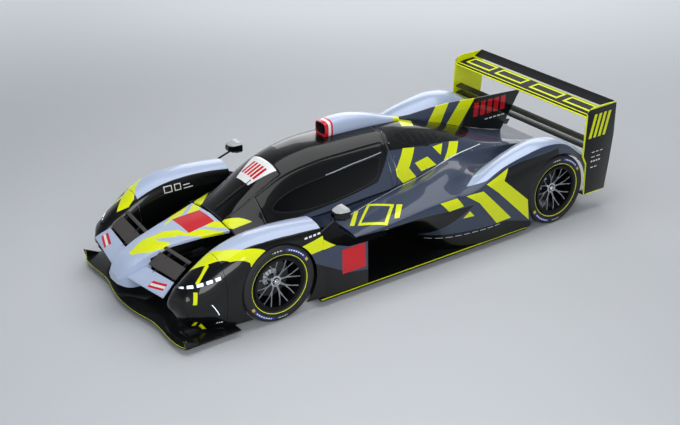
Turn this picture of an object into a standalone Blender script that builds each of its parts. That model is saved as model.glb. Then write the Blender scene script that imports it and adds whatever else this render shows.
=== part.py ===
"""Closed sports prototype race car, modelled panel by panel.

Metres, +Z up, nose towards -Y, the car's left side towards +X.
The origin is on the ground under the middle of the car.
"""
import math

import bmesh
import bpy
from mathutils import Matrix, Vector

# Driving dimensions of the whole car
FRONT_AXLE_Y = -1.40
REAR_AXLE_Y = 1.75
HALF_WIDTH = 1.000

# Wheels
TYRE_R = 0.355
TYRE_SHOULDER_R = 0.030
TYRE_FRONT_W = 0.290
TYRE_REAR_W = 0.340
FRONT_WHEEL_X = HALF_WIDTH - 0.160
REAR_WHEEL_X = HALF_WIDTH - 0.185
RIM_FLANGE_R = 0.246
RIM_BARREL_R = 0.226
RIM_WALL = 0.012
BEAD_R = 0.238
SEAT_GAP = 0.0003
WHEEL_SEGMENTS = 32
SPOKE_PAIRS = 8
HUB_R = 0.046
DISC_R = 0.170
DISC_T = 0.030
DISC_INSET = 0.035
HUB_Z = TYRE_R
KINGPIN_X = FRONT_WHEEL_X - 0.080
JOINT_DROP = 0.115

# Bodywork
SHELL_T = 0.008
PANEL_GAP = 0.0008
DOOR_GAP = 0.005
ARCH_FRONT_R = 0.368
ARCH_REAR_R = 0.376
ARCH_INNER_X = FRONT_WHEEL_X - TYRE_FRONT_W / 2 - 0.063
ARCH_REAR_INNER_X = REAR_WHEEL_X - TYRE_REAR_W / 2 - 0.0065
DRAWN_HALF_WIDTH = 1.000    # the half width for which the tables of the car's sides are drawn
FLOOR_Z = 0.055
FLOOR_T = 0.018
SPLITTER_T = 0.014
FLOOR_TOP = FLOOR_Z + FLOOR_T
GLASS_T = 0.005

# Tub and cockpit
TUB_FRONT_Y = -1.46
TUB_REAR_Y = 0.24
TUB_SILL_Z = 0.630
TUB_WALL = 0.050
COCKPIT_FRONT_Y = -0.98

# Rear wing
WING_HALF_W = HALF_WIDTH - 0.012
WING_Z = 1.020
WING_LE_Y = 2.090
ENDPLATE_T = 0.011

SIDES = (("left", 1), ("right", -1))


def clear_scene():
    for item in list(bpy.data.objects):
        bpy.data.objects.remove(item, do_unlink=True)


clear_scene()
CAR = bpy.data.collections.new("prototype_race_car")
TOOLS = bpy.data.collections.new("cutting_tools")
bpy.context.scene.collection.children.link(CAR)
bpy.context.scene.collection.children.link(TOOLS)


def make_material(name, colour, roughness, metallic=0.0, alpha=1.0):
    made = bpy.data.materials.new(name)
    made.use_nodes = True
    shader = made.node_tree.nodes["Principled BSDF"]
    shader.inputs["Base Color"].default_value = (*colour, 1.0)
    shader.inputs["Roughness"].default_value = roughness
    shader.inputs["Metallic"].default_value = metallic
    shader.inputs["Alpha"].default_value = alpha
    made.diffuse_color = (*colour, 1.0)
    return made


BLUE = make_material("pale_blue_paint", (0.45, 0.53, 0.68), 0.25)
BLACK = make_material("gloss_black_paint", (0.008, 0.008, 0.01), 0.12)
CARBON = make_material("carbon_laminate", (0.02, 0.02, 0.022), 0.4)
RUBBER = make_material("tyre_rubber", (0.012, 0.012, 0.012), 0.8)
RIM = make_material("dark_forged_rim", (0.05, 0.05, 0.055), 0.3, 0.9)
CASTING = make_material("cast_housing", (0.12, 0.12, 0.13), 0.5, 0.8)
TINTED = make_material("tinted_polycarbonate", (0.01, 0.011, 0.012), 0.05)
LAMP_WHITE = make_material("headlamp_lens", (0.9, 0.95, 1.0), 0.1)
LAMP_RED = make_material("tail_lamp_lens", (0.6, 0.01, 0.01), 0.15)
CLOTH = make_material("seat_cover", (0.02, 0.02, 0.02), 0.9)


def add_object(name, mesh, material, collection=CAR, smooth=math.radians(32)):
    made = bpy.data.objects.new(name, mesh)
    collection.objects.link(made)
    mesh.materials.clear()
    if material:
        mesh.materials.append(material)
    if smooth:
        mesh.shade_smooth()
        mesh.set_sharp_from_angle(angle=smooth)
    return made


def put_origin(made, point):
    """Moves an object's origin to a point, such as one on its joint's axis, and leaves its shape."""
    made.data.transform(Matrix.Translation(-Vector(point)))
    made.location = point
    return made


def hide_tool(tool):
    tool.hide_render = True
    tool.display_type = "WIRE"
    return tool


def as_mesh(name, bm):
    mesh = bpy.data.meshes.new(name)
    bm.to_mesh(mesh)
    bm.free()
    return mesh


def inner_line(row, depth):
    """The row moved inwards by a wall's depth, within its own plane of constant y."""
    moved = []
    for index, (x, y, z) in enumerate(row):
        before = row[max(index - 1, 0)]
        after = row[min(index + 1, len(row) - 1)]
        first = Vector((x - before[0], z - before[2]))
        second = Vector((after[0] - x, after[2] - z))
        first = first.normalized() if first.length else second.normalized()
        second = second.normalized() if second.length else first
        middle = (first + second).normalized()
        reach = depth / max(middle.dot(first), 0.5)
        moved.append((x + middle.y * reach, y, z - middle.x * reach))
    return moved


def shell(name, rows, material, thickness=SHELL_T, side=1, inner_rows=None, is_open=None, collection=CAR):
    """A panel with square ends: each row runs outboard and down, and gets its wall inwards.

    is_open(step, index) tells which cells of the net are left out as openings.
    """
    inner_rows = inner_rows or [inner_line(row, thickness) for row in rows]
    bm = bmesh.new()
    outer, inner = [[[bm.verts.new(point) for point in row] for row in mirrored(layer, side)]
                    for layer in (rows, inner_rows)]
    cells = {(step, index) for step in range(len(rows) - 1) for index in range(len(rows[0]) - 1)
             if not (is_open and is_open(step, index))}
    for step, index in sorted(cells):
        # Both skins are split along the same diagonals, so that a thin wall never crosses itself
        for layer in (outer, inner):
            near, far = layer[step], layer[step + 1]
            bm.faces.new((near[index], near[index + 1], far[index + 1]))
            bm.faces.new((near[index], far[index + 1], far[index]))
        corners = ((step, index), (step, index + 1), (step + 1, index + 1), (step + 1, index))
        beside = ((step - 1, index), (step, index + 1), (step + 1, index), (step, index - 1))
        for turn in range(4):
            if beside[turn] not in cells:
                (s1, i1), (s2, i2) = corners[turn], corners[(turn + 1) % 4]
                bm.faces.new((outer[s1][i1], outer[s2][i2], inner[s2][i2], inner[s1][i1]))
    bmesh.ops.delete(bm, geom=[vert for vert in bm.verts if not vert.link_faces], context="VERTS")
    bmesh.ops.recalc_face_normals(bm, faces=bm.faces)
    made = add_object(name, as_mesh(name, bm), material, collection)
    return hide_tool(made) if collection is TOOLS else made


def closed_loft(name, rings, material, collection=CAR):
    """A solid through closed rings of equal count, with flat ends."""
    bm = bmesh.new()
    net = [[bm.verts.new(point) for point in ring] for ring in rings]
    count = len(net[0])
    for near, far in zip(net, net[1:]):
        for index in range(count):
            after = (index + 1) % count
            # A fixed diagonal, so that a cutter made from the same rings has the same facets
            bm.faces.new((near[index], near[after], far[after]))
            bm.faces.new((near[index], far[after], far[index]))
    bm.faces.new(net[0])
    bm.faces.new(net[-1])
    bmesh.ops.remove_doubles(bm, verts=bm.verts, dist=0.0001)
    bmesh.ops.recalc_face_normals(bm, faces=bm.faces)
    return add_object(name, as_mesh(name, bm), material, collection)


def box(name, low, high, material=None, collection=TOOLS, bevel=0.0):
    """A block between two opposite corners."""
    low, high = Vector(low), Vector(high)
    bm = bmesh.new()
    size = Matrix.Diagonal((*(high - low), 1.0))
    bmesh.ops.create_cube(bm, size=1.0, matrix=Matrix.Translation((low + high) / 2) @ size)
    bmesh.ops.recalc_face_normals(bm, faces=bm.faces)
    made = add_object(name, as_mesh(name, bm), material, collection)
    if bevel:
        rounding = made.modifiers.new("rounding", "BEVEL")
        rounding.width = bevel
        rounding.segments = 2
        rounding.limit_method = "ANGLE"
    return hide_tool(made) if collection is TOOLS else made


def rod(name, start, end, radius, material=None, collection=TOOLS, sides=8, end_radius=None):
    """A straight round bar between two points."""
    start, end = Vector(start), Vector(end)
    along = end - start
    turn = along.to_track_quat("Z", "Y").to_matrix().to_4x4()
    bm = bmesh.new()
    bmesh.ops.create_cone(
        bm, cap_ends=True, segments=sides, radius1=radius,
        radius2=radius if end_radius is None else end_radius, depth=along.length,
        matrix=Matrix.Translation((start + end) / 2) @ turn)
    made = add_object(name, as_mesh(name, bm), material, collection)
    return hide_tool(made) if collection is TOOLS else made


def prism(name, outline, axis, low, high, material=None, collection=TOOLS):
    """A flat outline drawn out along one axis, from low to high."""
    def place(first, second, level):
        return {"x": (level, first, second), "y": (first, level, second), "z": (first, second, level)}[axis]
    bm = bmesh.new()
    near = [bm.verts.new(place(*point, low)) for point in outline]
    far = [bm.verts.new(place(*point, high)) for point in outline]
    bm.faces.new(near)
    bm.faces.new(list(reversed(far)))
    for index in range(len(outline)):
        after = (index + 1) % len(outline)
        bm.faces.new((near[index], near[after], far[after], far[index]))
    bmesh.ops.recalc_face_normals(bm, faces=bm.faces)
    made = add_object(name, as_mesh(name, bm), material, collection)
    return hide_tool(made) if collection is TOOLS else made


def turned(name, profile, centre, segments, material=None, collection=CAR):
    """A ring turned about the X axis: profile points are (x, radius), closed on themselves."""
    bm = bmesh.new()
    rings = []
    for step in range(segments):
        angle = math.tau * step / segments
        rings.append([bm.verts.new((centre[0] + x, centre[1] + r * math.cos(angle),
                                    centre[2] + r * math.sin(angle))) for x, r in profile])
    count = len(profile)
    for step in range(segments):
        near, far = rings[step], rings[(step + 1) % segments]
        for index in range(count):
            after = (index + 1) % count
            bm.faces.new((near[index], near[after], far[after], far[index]))
    bmesh.ops.recalc_face_normals(bm, faces=bm.faces)
    made = add_object(name, as_mesh(name, bm), material, collection)
    return hide_tool(made) if collection is TOOLS else made


def boolean(target, tool, operation="DIFFERENCE"):
    step = target.modifiers.new(operation.lower() + "_" + tool.name, "BOOLEAN")
    step.object = tool
    step.operation = operation
    step.solver = "EXACT"
    return target


def fuse(target, *tools):
    for tool in tools:
        boolean(target, tool, "UNION")
    return target


def cut(target, *tools):
    for tool in tools:
        boolean(target, tool, "DIFFERENCE")
    return target


def arc(centre, radius, start, end, steps):
    """Points on an arc in a plane, angles in degrees."""
    return [(centre[0] + radius * math.cos(math.radians(start + (end - start) * k / steps)),
             centre[1] + radius * math.sin(math.radians(start + (end - start) * k / steps)))
            for k in range(steps + 1)]


def mirrored(rows, side):
    return [[(x * side, y, z) for x, y, z in row] for row in rows]


def across(rows):
    """Completes half rows, which start at the middle plane, to full rows from right to left."""
    return [[(-x, y, z) for x, y, z in reversed(row[1:])] + list(row) for row in rows]


def outboard(x):
    """A place beside the wheels, which keeps its distance from the car's side."""
    return x + HALF_WIDTH - DRAWN_HALF_WIDTH


def rows_from(table, inner_fixed=False):
    """Table lines are (y, ((x, z), ...)) and become rows of points, placed from the car's side.

    With inner_fixed the first point stays where it is, and the rest stretch between it and the side.
    """
    rows = []
    for y, points in table:
        inner, outer = points[0][0], max(x for x, _ in points)
        stretch = (outboard(outer) - inner) / (outer - inner)
        rows.append([(inner + (x - inner) * stretch if inner_fixed else outboard(x), y, z)
                     for x, z in points])
    return rows


# Floor: one flat plate, waisted between the wheels

FLOOR_FRONT_Y = -1.28
FLOOR_REAR_Y = 1.36
FRONT_WAIST = FRONT_WHEEL_X - TYRE_FRONT_W / 2 - 0.095
REAR_WAIST = REAR_WHEEL_X - TYRE_REAR_W / 2 - 0.025
FRONT_WHEEL_CLEAR = 0.400


def make_floor():
    front_edge = FRONT_AXLE_Y + FRONT_WHEEL_CLEAR
    half = [(FRONT_WAIST, FLOOR_FRONT_Y), (FRONT_WAIST, front_edge), (HALF_WIDTH, front_edge),
            (HALF_WIDTH, FLOOR_REAR_Y), (REAR_WAIST, FLOOR_REAR_Y)]
    outline = half + [(-x, y) for x, y in reversed(half)]
    prism("floor", outline, "z", FLOOR_Z, FLOOR_TOP, CARBON, CAR)


# Splitter: the lowest plate of the nose, with a raised fence at each tip
# Columns: share of the half width, front edge y

SPLITTER_EDGE = ((0.000, -2.415), (0.150, -2.408), (0.290, -2.385), (0.450, -2.352), (0.600, -2.350),
                 (0.800, -2.360), (0.925, -2.350), (1.000, -2.318))
SPLITTER_REAR_Y = -1.805
SPLITTER_FENCE_H = 0.075


def make_splitter():
    half = [(share * HALF_WIDTH, y) for share, y in SPLITTER_EDGE[1:]]
    half += [(HALF_WIDTH, SPLITTER_REAR_Y), (FRONT_WAIST, SPLITTER_REAR_Y),
             (FRONT_WAIST, FLOOR_FRONT_Y - SEAT_GAP)]
    outline = [SPLITTER_EDGE[0]] + half + [(-x, y) for x, y in reversed(half)]
    top = FLOOR_Z + SPLITTER_T
    plate = prism("splitter", outline, "z", FLOOR_Z, top, CARBON, CAR)
    for name, side in SIDES:
        tip_y = SPLITTER_EDGE[-1][1]
        fence = prism("splitter_fence_" + name,
                      [(tip_y, FLOOR_Z + 0.002), (tip_y - 0.02, top + SPLITTER_FENCE_H),
                       (tip_y + 0.13, top), (tip_y + 0.13, FLOOR_Z + 0.002)], "x",
                      *sorted((side * (HALF_WIDTH - 0.012), side * HALF_WIDTH)))
        fuse(plate, fence)


# Tub: the carbon survival cell, open at the top where the doors and the screen close it
# Columns: y, half width at the floor, half width at the sill, sill height

TUB_STATIONS = ((TUB_FRONT_Y, 0.330, 0.360, 0.560), (-1.120, 0.350, 0.360, 0.590),
                (-0.920, 0.400, 0.515, 0.610),
                (-0.600, 0.430, 0.548, 0.620), (-0.300, 0.430, 0.546, 0.628), (0.100, 0.420, 0.512, 0.632),
                (TUB_REAR_Y, 0.400, 0.480, 0.632))
COCKPIT_HALF_W = 0.380
FOOTWELL_HALF_W = 0.240
DASH_DEPTH = 0.12
FOOTWELL_TOP_Z = 0.400
SEAT_X = -0.170
STEER_WHEEL = (SEAT_X, -0.560, 0.560)
STEER_HUB_DEPTH = 0.060
COLUMN_TILT = math.radians(22)
COLUMN_REACH = 0.367


def column_point(along):
    """A point on the steering column's axis, measured from the steering wheel towards the driver."""
    return Vector(STEER_WHEEL) + along * Vector((0, math.cos(COLUMN_TILT), math.sin(COLUMN_TILT)))


def make_monocoque():
    rings = []
    bottom = FLOOR_TOP + SEAT_GAP
    for y, low_x, high_x, sill_z in TUB_STATIONS:
        rings.append([(-low_x, y, bottom), (low_x, y, bottom), (high_x, y, bottom + 0.12),
                      (high_x, y, sill_z), (-high_x, y, sill_z), (-high_x, y, bottom + 0.12)])
    tub = closed_loft("monocoque", rings, CARBON)
    inside_floor = bottom + 0.03
    cockpit = box("cockpit_space", (-COCKPIT_HALF_W, COCKPIT_FRONT_Y + DASH_DEPTH, inside_floor),
                  (COCKPIT_HALF_W, TUB_REAR_Y - TUB_WALL, TUB_SILL_Z + 0.2))
    footwell = box("footwell_space", (-FOOTWELL_HALF_W, TUB_FRONT_Y + TUB_WALL, inside_floor + 0.02),
                   (FOOTWELL_HALF_W, COCKPIT_FRONT_Y + DASH_DEPTH + 0.05, FOOTWELL_TOP_Z))
    column = rod("steering_column", column_point(-STEER_HUB_DEPTH - SEAT_GAP), column_point(-COLUMN_REACH),
                 0.018,
                 sides=12)
    cut(tub, cockpit, footwell)
    fuse(tub, column)


# Nose: the raised crash cone, its top widening back to the foot of the screen
# Columns: y, half width of the top, top height, half width at the waist, waist height,
# half width at the bottom, bottom height

NOSE_STATIONS = (
    (-2.475, 0.060, 0.372, 0.085, 0.345, 0.060, 0.300),
    (-2.425, 0.110, 0.425, 0.125, 0.380, 0.100, 0.270),
    (-2.250, 0.150, 0.520, 0.165, 0.440, 0.140, 0.245),
    (-2.000, 0.190, 0.590, 0.215, 0.490, 0.180, 0.235),
    (-1.750, 0.260, 0.620, 0.270, 0.520, 0.220, 0.230),
    (-1.5005, 0.350, 0.640, 0.330, 0.530, 0.250, 0.225),
)


def nose_rings(grow=0.0):
    rings = []
    for y, top_x, top_z, mid_x, mid_z, low_x, low_z in NOSE_STATIONS:
        crown = top_z + 0.22 * top_x * 0.35
        half = [(0, crown), (top_x * 0.6, top_z + 0.012), (top_x + grow, top_z - 0.004),
                (mid_x + grow, mid_z),
                (low_x + grow, low_z)]
        rings.append([(x, y, z) for x, z in half] + [(-x, y, z) for x, z in reversed(half[1:])])
    return rings


def make_nose():
    nose = closed_loft("nose", nose_rings(), BLUE)
    for name, side in SIDES:
        pylon = box("nose_pylon_" + name, (side * 0.10 - 0.012, -2.20, FLOOR_Z + SPLITTER_T + SEAT_GAP),
                    (side * 0.10 + 0.012, -1.95, 0.30))
        fuse(nose, pylon)


# Front fender: pod, arch and inner wall in one moulding
# Columns: y, then (x, z) points from the foot of the inner wall over the crown to the outer foot

FENDER_STATIONS = (
    (-2.312, ((0.690, 0.322), (0.693, 0.345), (0.702, 0.362), (0.714, 0.372), (0.726, 0.374),
              (0.738, 0.364), (0.745, 0.345), (0.742, 0.326), (0.730, 0.318))),
    (-2.300, ((0.665, 0.300), (0.672, 0.345), (0.690, 0.380), (0.712, 0.400), (0.735, 0.405),
              (0.755, 0.385), (0.768, 0.350), (0.764, 0.318), (0.740, 0.300))),
    (-2.270, ((0.645, 0.290), (0.652, 0.360), (0.680, 0.420), (0.715, 0.445), (0.760, 0.445),
              (0.805, 0.420), (0.835, 0.360), (0.835, 0.290), (0.780, 0.235))),
    (-2.180, ((0.620, 0.290), (0.630, 0.400), (0.665, 0.490), (0.715, 0.525), (0.785, 0.520),
              (0.850, 0.480), (0.900, 0.390), (0.905, 0.270), (0.800, 0.130))),
    (-2.120, ((0.612, 0.295), (0.622, 0.427), (0.660, 0.532), (0.715, 0.570), (0.793, 0.565),
              (0.866, 0.525), (0.924, 0.425), (0.932, 0.280), (0.815, 0.095))),
    (-2.050, ((0.605, 0.300), (0.615, 0.450), (0.655, 0.570), (0.715, 0.610), (0.800, 0.605),
              (0.880, 0.565), (0.945, 0.460), (0.957, 0.300), (0.860, 0.095))),
    (-1.900, ((0.600, 0.320), (0.608, 0.500), (0.650, 0.655), (0.715, 0.700), (0.810, 0.700),
              (0.900, 0.660), (0.965, 0.550), (0.977, 0.350), (0.928, 0.095))),
    (-1.700, ((0.600, 0.400), (0.605, 0.560), (0.645, 0.720), (0.715, 0.765), (0.820, 0.770),
              (0.918, 0.738), (0.975, 0.640), (0.985, 0.420), (0.960, 0.095))),
    (-1.400, ((0.600, 0.525), (0.604, 0.600), (0.640, 0.750), (0.712, 0.788), (0.825, 0.796),
              (0.928, 0.762), (0.975, 0.700), (0.986, 0.500), (0.988, 0.095))),
    (-1.150, ((0.600, 0.525), (0.606, 0.600), (0.642, 0.740), (0.710, 0.776), (0.825, 0.782),
              (0.926, 0.748), (0.972, 0.690), (0.986, 0.500), (0.988, 0.095))),
    (-0.950, ((0.600, 0.480), (0.610, 0.590), (0.645, 0.715), (0.706, 0.755), (0.820, 0.760),
              (0.922, 0.728), (0.968, 0.660), (0.985, 0.500), (0.988, 0.095))),
)
POD_SPLIT_Y = -1.900
FENDER_REAR_Y = FENDER_STATIONS[-1][0]
# The row of lamps on the pod's shoulder: its path, columns: y, (fractional) column of the fender table
LAMP_PATH = ((-2.237, 3.20), (-2.189, 4.25), (-2.129, 4.95), (-2.056, 5.25), (-1.985, 5.50), (-1.922, 5.70))
LAMP_HALF = 0.017
LAMP_DEPTH = 0.014
LAMP_BACK_T = 0.005
LAMP_GAP = 0.0005
LAMP_END = 0.04     # how far the lamps stop short of their channel, as a share of one step of the path
LENS_INSET = 0.17   # the same for each lens in its step
LENS_PROUD = 0.002
TRAIL_X = HALF_WIDTH - 0.020
# The side plate that trails the arch, columns: y, z
TRAIL_PLATE = ((-0.9505, FLOOR_TOP + SEAT_GAP), (-0.9505, 0.640), (-0.880, 0.590), (-0.820, 0.550),
               (-0.700, 0.495), (-0.490, 0.487), (-0.490, FLOOR_TOP + SEAT_GAP))


def make_front_fender(name, side):
    rows = rows_from(FENDER_STATIONS)
    split = next(index for index, row in enumerate(rows) if row[0][1] == POD_SPLIT_Y)
    fender = shell("front_fender_" + name, rows[split:], BLUE, side=side)
    hub_y = FRONT_AXLE_Y
    reach = sorted((side * ARCH_INNER_X, side * (HALF_WIDTH + 0.05)))
    arch = rod("front_arch_" + name, (reach[0], hub_y, HUB_Z), (reach[1], hub_y, HUB_Z), ARCH_FRONT_R,
               sides=40)
    cut(fender, arch)
    plate = prism("fender_trail_" + name, [(y - 0.006, z) for y, z in TRAIL_PLATE], "x",
                  *sorted((side * TRAIL_X, side * (TRAIL_X + SHELL_T))))
    fuse(fender, plate)


def make_lamp_pod(name, side):
    """The closed housing in front of the fender, with a channel for its row of lamps."""
    rows = [row for row in rows_from(FENDER_STATIONS) if row[0][1] <= POD_SPLIT_Y]
    rows[-1] = [(x, y - PANEL_GAP, z) for x, y, z in rows[-1]]
    pod = closed_loft("lamp_pod_" + name, mirrored(rows, side), BLACK)
    last = len(LAMP_PATH) - 1
    cut(pod, lamp_strip("lamp_channel_" + name, side, 0, last, -LAMP_DEPTH, LAMP_DEPTH, LAMP_HALF, TOOLS))
    lamps = lamp_strip("headlamp_" + name, side, LAMP_END, last - LAMP_END, -LAMP_DEPTH + LAMP_GAP,
                       -LAMP_DEPTH + LAMP_BACK_T, LAMP_HALF - LAMP_GAP, CAR, LAMP_WHITE)
    fuse(lamps, *[lamp_strip("lens_%s_%d" % (name, index), side, index + LENS_INSET, index + 1 - LENS_INSET,
                             -LAMP_DEPTH + 0.001, LENS_PROUD, LAMP_HALF - 0.001,
                             TOOLS) for index in range(last)])


def lamp_strip(title, side, start, end, low, high, half, collection, material=None):
    """A bar that follows the row of lamps from one place on its path to another, between two depths."""
    def corners(mark):
        spot = fender_point(*LAMP_PATH[mark])
        along = (fender_point(*LAMP_PATH[-1]) - fender_point(*LAMP_PATH[0])).normalized()
        out = (fender_point(LAMP_PATH[mark][0], LAMP_PATH[mark][1] + 0.1) - spot).cross(along).normalized()
        out *= math.copysign(1.0, out.z)
        over = along.cross(out).normalized()
        return [spot + over * width + out * depth
                for width, depth in ((-half, low), (half, low), (half, high), (-half, high))]
    rings = []
    places = [start] + [mark for mark in range(len(LAMP_PATH)) if start < mark < end] + [end]
    for place in places:
        mark = min(int(place), len(LAMP_PATH) - 2)
        ring = [near.lerp(far, place - mark) for near, far in zip(corners(mark), corners(mark + 1))]
        rings.append([(side * x, y, z) for x, y, z in ring])
    made = closed_loft(title, rings, material, collection)
    return hide_tool(made) if collection is TOOLS else made


def fender_point(y, column):
    """A point of the fender's and pod's surface on the left side."""
    x, _, z = skin_point(y, column, FENDER_STATIONS)
    return Vector((outboard(x), y, z))


# Front wing: two slotted elements and a slim bar between the nose and each pod
# Columns: inner leading edge, inner trailing edge, outer leading edge, outer trailing edge, thickness

WING_ELEMENTS = (
    ((0.090, -2.418, 0.378), (0.110, -2.236, 0.430), (0.672, -2.335, 0.395), (0.622, -2.200, 0.475), 0.014),
    ((0.120, -2.215, 0.450), (0.140, -2.100, 0.540), (0.618, -2.185, 0.490), (0.606, -2.075, 0.560), 0.010),
    ((0.140, -2.065, 0.562), (0.150, -2.035, 0.575), (0.602, -2.045, 0.585), (0.602, -2.015, 0.600), 0.008),
)
# The ribs below the elements, which carry them; columns of the outline: y, z
RIB_INNER_X = 0.300
RIB_OUTER_X = 0.560
RIB_T = 0.008
RIB_OUTLINE = ((-2.310, 0.385), (-2.300, 0.412), (-2.240, 0.442), (-2.200, 0.462), (-2.110, 0.538),
               (-2.060, 0.570),
               (-2.030, 0.586), (-2.025, 0.570), (-2.110, 0.500), (-2.200, 0.420))


def make_front_wing(name, side):
    pieces = []
    for index, (in_lead, in_trail, out_lead, out_trail, depth) in enumerate(WING_ELEMENTS):
        rings = []
        for lead, trail, place in ((in_lead, in_trail, float), (out_lead, out_trail, outboard)):
            lead = Vector((place(lead[0]) * side, lead[1], lead[2]))
            trail = Vector((place(trail[0]) * side, trail[1], trail[2]))
            chord = trail - lead
            lift = Vector((0, 0, depth / 2))
            rings.append([lead, lead + chord * 0.12 + lift, lead + chord * 0.5 + lift, trail + lift * 0.2,
                          trail - lift * 0.2, lead + chord * 0.5 - lift, lead + chord * 0.12 - lift])
        collection = CAR if index == 0 else TOOLS
        title = "front_wing_" + name if index == 0 else "front_wing_%s_element_%d" % (name, index)
        piece = closed_loft(title, rings, CARBON, collection)
        if index:
            hide_tool(piece)
        pieces.append(piece)
    for tag, x in (("inner", RIB_INNER_X), ("outer", outboard(RIB_OUTER_X))):
        rib = prism("front_wing_rib_%s_%s" % (tag, name), list(RIB_OUTLINE), "x",
                    *sorted((side * (x - RIB_T / 2), side * (x + RIB_T / 2))))
        pieces.append(rib)
    root = hide_tool(closed_loft("front_wing_root_" + name, nose_rings(SEAT_GAP), None, TOOLS))
    for element in pieces[:len(WING_ELEMENTS)]:
        cut(element, root)
    fuse(pieces[0], *pieces[1:])


# Cabin: the canopy skin, split into screen, doors with side windows, roof and engine cover
# Columns: y, then (x, z) points from the middle plane down to the foot of the skin

SCREEN_REAR_Y = -0.920
CABIN_STATIONS = (
    (-1.500, ((0.000, 0.672), (0.120, 0.668), (0.220, 0.658), (0.300, 0.644), (0.370, 0.628),
              (0.430, 0.612))),
    (-1.300, ((0.000, 0.800), (0.130, 0.790), (0.240, 0.755), (0.325, 0.712), (0.400, 0.662),
              (0.470, 0.614))),
    (-1.100, ((0.000, 0.930), (0.140, 0.915), (0.255, 0.868), (0.345, 0.795), (0.420, 0.712),
              (0.505, 0.622))),
    (SCREEN_REAR_Y, ((0.000, 1.030), (0.150, 1.012), (0.270, 0.952), (0.360, 0.860), (0.445, 0.752),
                     (0.530, 0.630))),
    (-0.600, ((0.000, 1.112), (0.170, 1.092), (0.295, 1.020), (0.385, 0.915), (0.470, 0.790),
              (0.555, 0.645))),
    (-0.250, ((0.000, 1.122), (0.180, 1.102), (0.305, 1.035), (0.395, 0.930), (0.475, 0.805),
              (0.550, 0.660))),
    (0.200, ((0.000, 1.112), (0.170, 1.092), (0.295, 1.026), (0.385, 0.925), (0.455, 0.805), (0.502, 0.650))),
)
COVER_STATIONS = (
    (0.200, ((0.000, 1.112), (0.170, 1.092), (0.295, 1.026), (0.385, 0.925), (0.455, 0.805), (0.502, 0.650))),
    (0.450, ((0.000, 1.088), (0.150, 1.065), (0.270, 1.000), (0.365, 0.905), (0.430, 0.800), (0.486, 0.672))),
    (0.800, ((0.000, 0.995), (0.120, 0.978), (0.225, 0.935), (0.320, 0.870), (0.390, 0.800), (0.456, 0.725))),
    (1.100, ((0.000, 0.897), (0.100, 0.885), (0.195, 0.855), (0.285, 0.820), (0.360, 0.775), (0.440, 0.728))),
    (1.360, ((0.000, 0.800), (0.090, 0.792), (0.180, 0.776), (0.270, 0.757), (0.350, 0.738), (0.432, 0.710))),
    (1.620, ((0.000, 0.712), (0.090, 0.711), (0.180, 0.708), (0.270, 0.703), (0.348, 0.696), (0.422, 0.680))),
    (1.880, ((0.000, 0.640), (0.090, 0.640), (0.180, 0.641), (0.270, 0.641), (0.342, 0.640), (0.412, 0.632))),
    (2.080, ((0.000, 0.598), (0.090, 0.598), (0.180, 0.599), (0.260, 0.599), (0.335, 0.598), (0.405, 0.590))),
)
COVER_FRONT_Y = COVER_STATIONS[0][0]
DOOR_FRONT_Y = -1.180
DOOR_REAR_Y = 0.130
DOOR_T = 0.014
# Edges of the panels as (fractional) columns of the cabin table
SCREEN_EDGE = 1.80
PILLAR_SPAN = 0.20
DOOR_EDGE_GAP = 0.06
PILLAR_EDGE = SCREEN_EDGE + PILLAR_SPAN
DOOR_EDGE = PILLAR_EDGE + DOOR_EDGE_GAP
SKIN_FOOT = 5.0
EDGE_GAP = 0.012
GLASS_SEAT = 0.0004
# Door hinge: an axis along the door's front edge, on the skin
HINGE_AXIS = (0.765, 0.0, -0.645)
HINGE_POINT = (0.375, -1.1825, 0.7265)
KNUCKLE_R = 0.007
KNUCKLE_RUNS = ((-0.034, -0.0125), (0.0125, 0.034))
KNUCKLE_HALF = 0.0122
# Side window outline, columns: y, z
WINDOW_OUTLINE = ((-1.120, 0.722), (-1.040, 0.795), (-0.860, 0.866), (-0.600, 0.905), (-0.250, 0.932),
                  (0.085, 0.952), (0.010, 0.845), (-0.050, 0.765), (-0.500, 0.712), (-0.880, 0.690))


def skin_line(y, table, depth=0.0):
    """The whole half section of a skin at a station y, moved inwards by depth."""
    pairs = list(zip(table, table[1:]))
    (y_low, low), (y_high, high) = next((pair for pair in pairs if y <= pair[1][0]), pairs[-1])
    share = (y - y_low) / (y_high - y_low)
    half = [Vector(near).lerp(Vector(far), share) for near, far in zip(low, high)]
    full = [(-spot.x, y, spot.y) for spot in reversed(half[1:])] + [(spot.x, y, spot.y) for spot in half]
    return inner_line(full, depth)[len(half) - 1:]


def skin_point(y, column, table=CABIN_STATIONS, depth=0.0):
    """A point of a skin at a station y and a (fractional) column of its table."""
    line = skin_line(y, table, depth)
    index = min(int(column), len(line) - 2)
    return tuple(Vector(line[index]).lerp(Vector(line[index + 1]), column - index))


def stations_between(start, end, table=CABIN_STATIONS):
    """The table's own stations between two places, with both ends."""
    inner = [y for y, _ in table if start + 0.02 < y < end - 0.02]
    return [start] + inner + [end]


def skin_rows(start, end, columns, table=CABIN_STATIONS, depth=0.0):
    return [[skin_point(y, column, table, depth) for column in columns]
            for y in stations_between(start, end, table)]


def skin_panel(name, start, end, columns, material, thickness=SHELL_T, side=1, table=CABIN_STATIONS):
    """A panel cut from a skin; its edges lie on lines that its neighbours share."""
    outer = skin_rows(start, end, columns, table)
    inner = skin_rows(start, end, columns, table, thickness)
    if columns[0] == 0:
        outer, inner = across(outer), across(inner)
    return shell(name, outer, material, side=side, inner_rows=inner)


def make_windscreen():
    """The screen wraps from the nose to the roof's front edge between the two pillars."""
    skin_panel("windscreen", CABIN_STATIONS[0][0] + SEAT_GAP, SCREEN_REAR_Y - PANEL_GAP,
               (0, 1, SCREEN_EDGE - EDGE_GAP), TINTED, GLASS_T)


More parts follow.
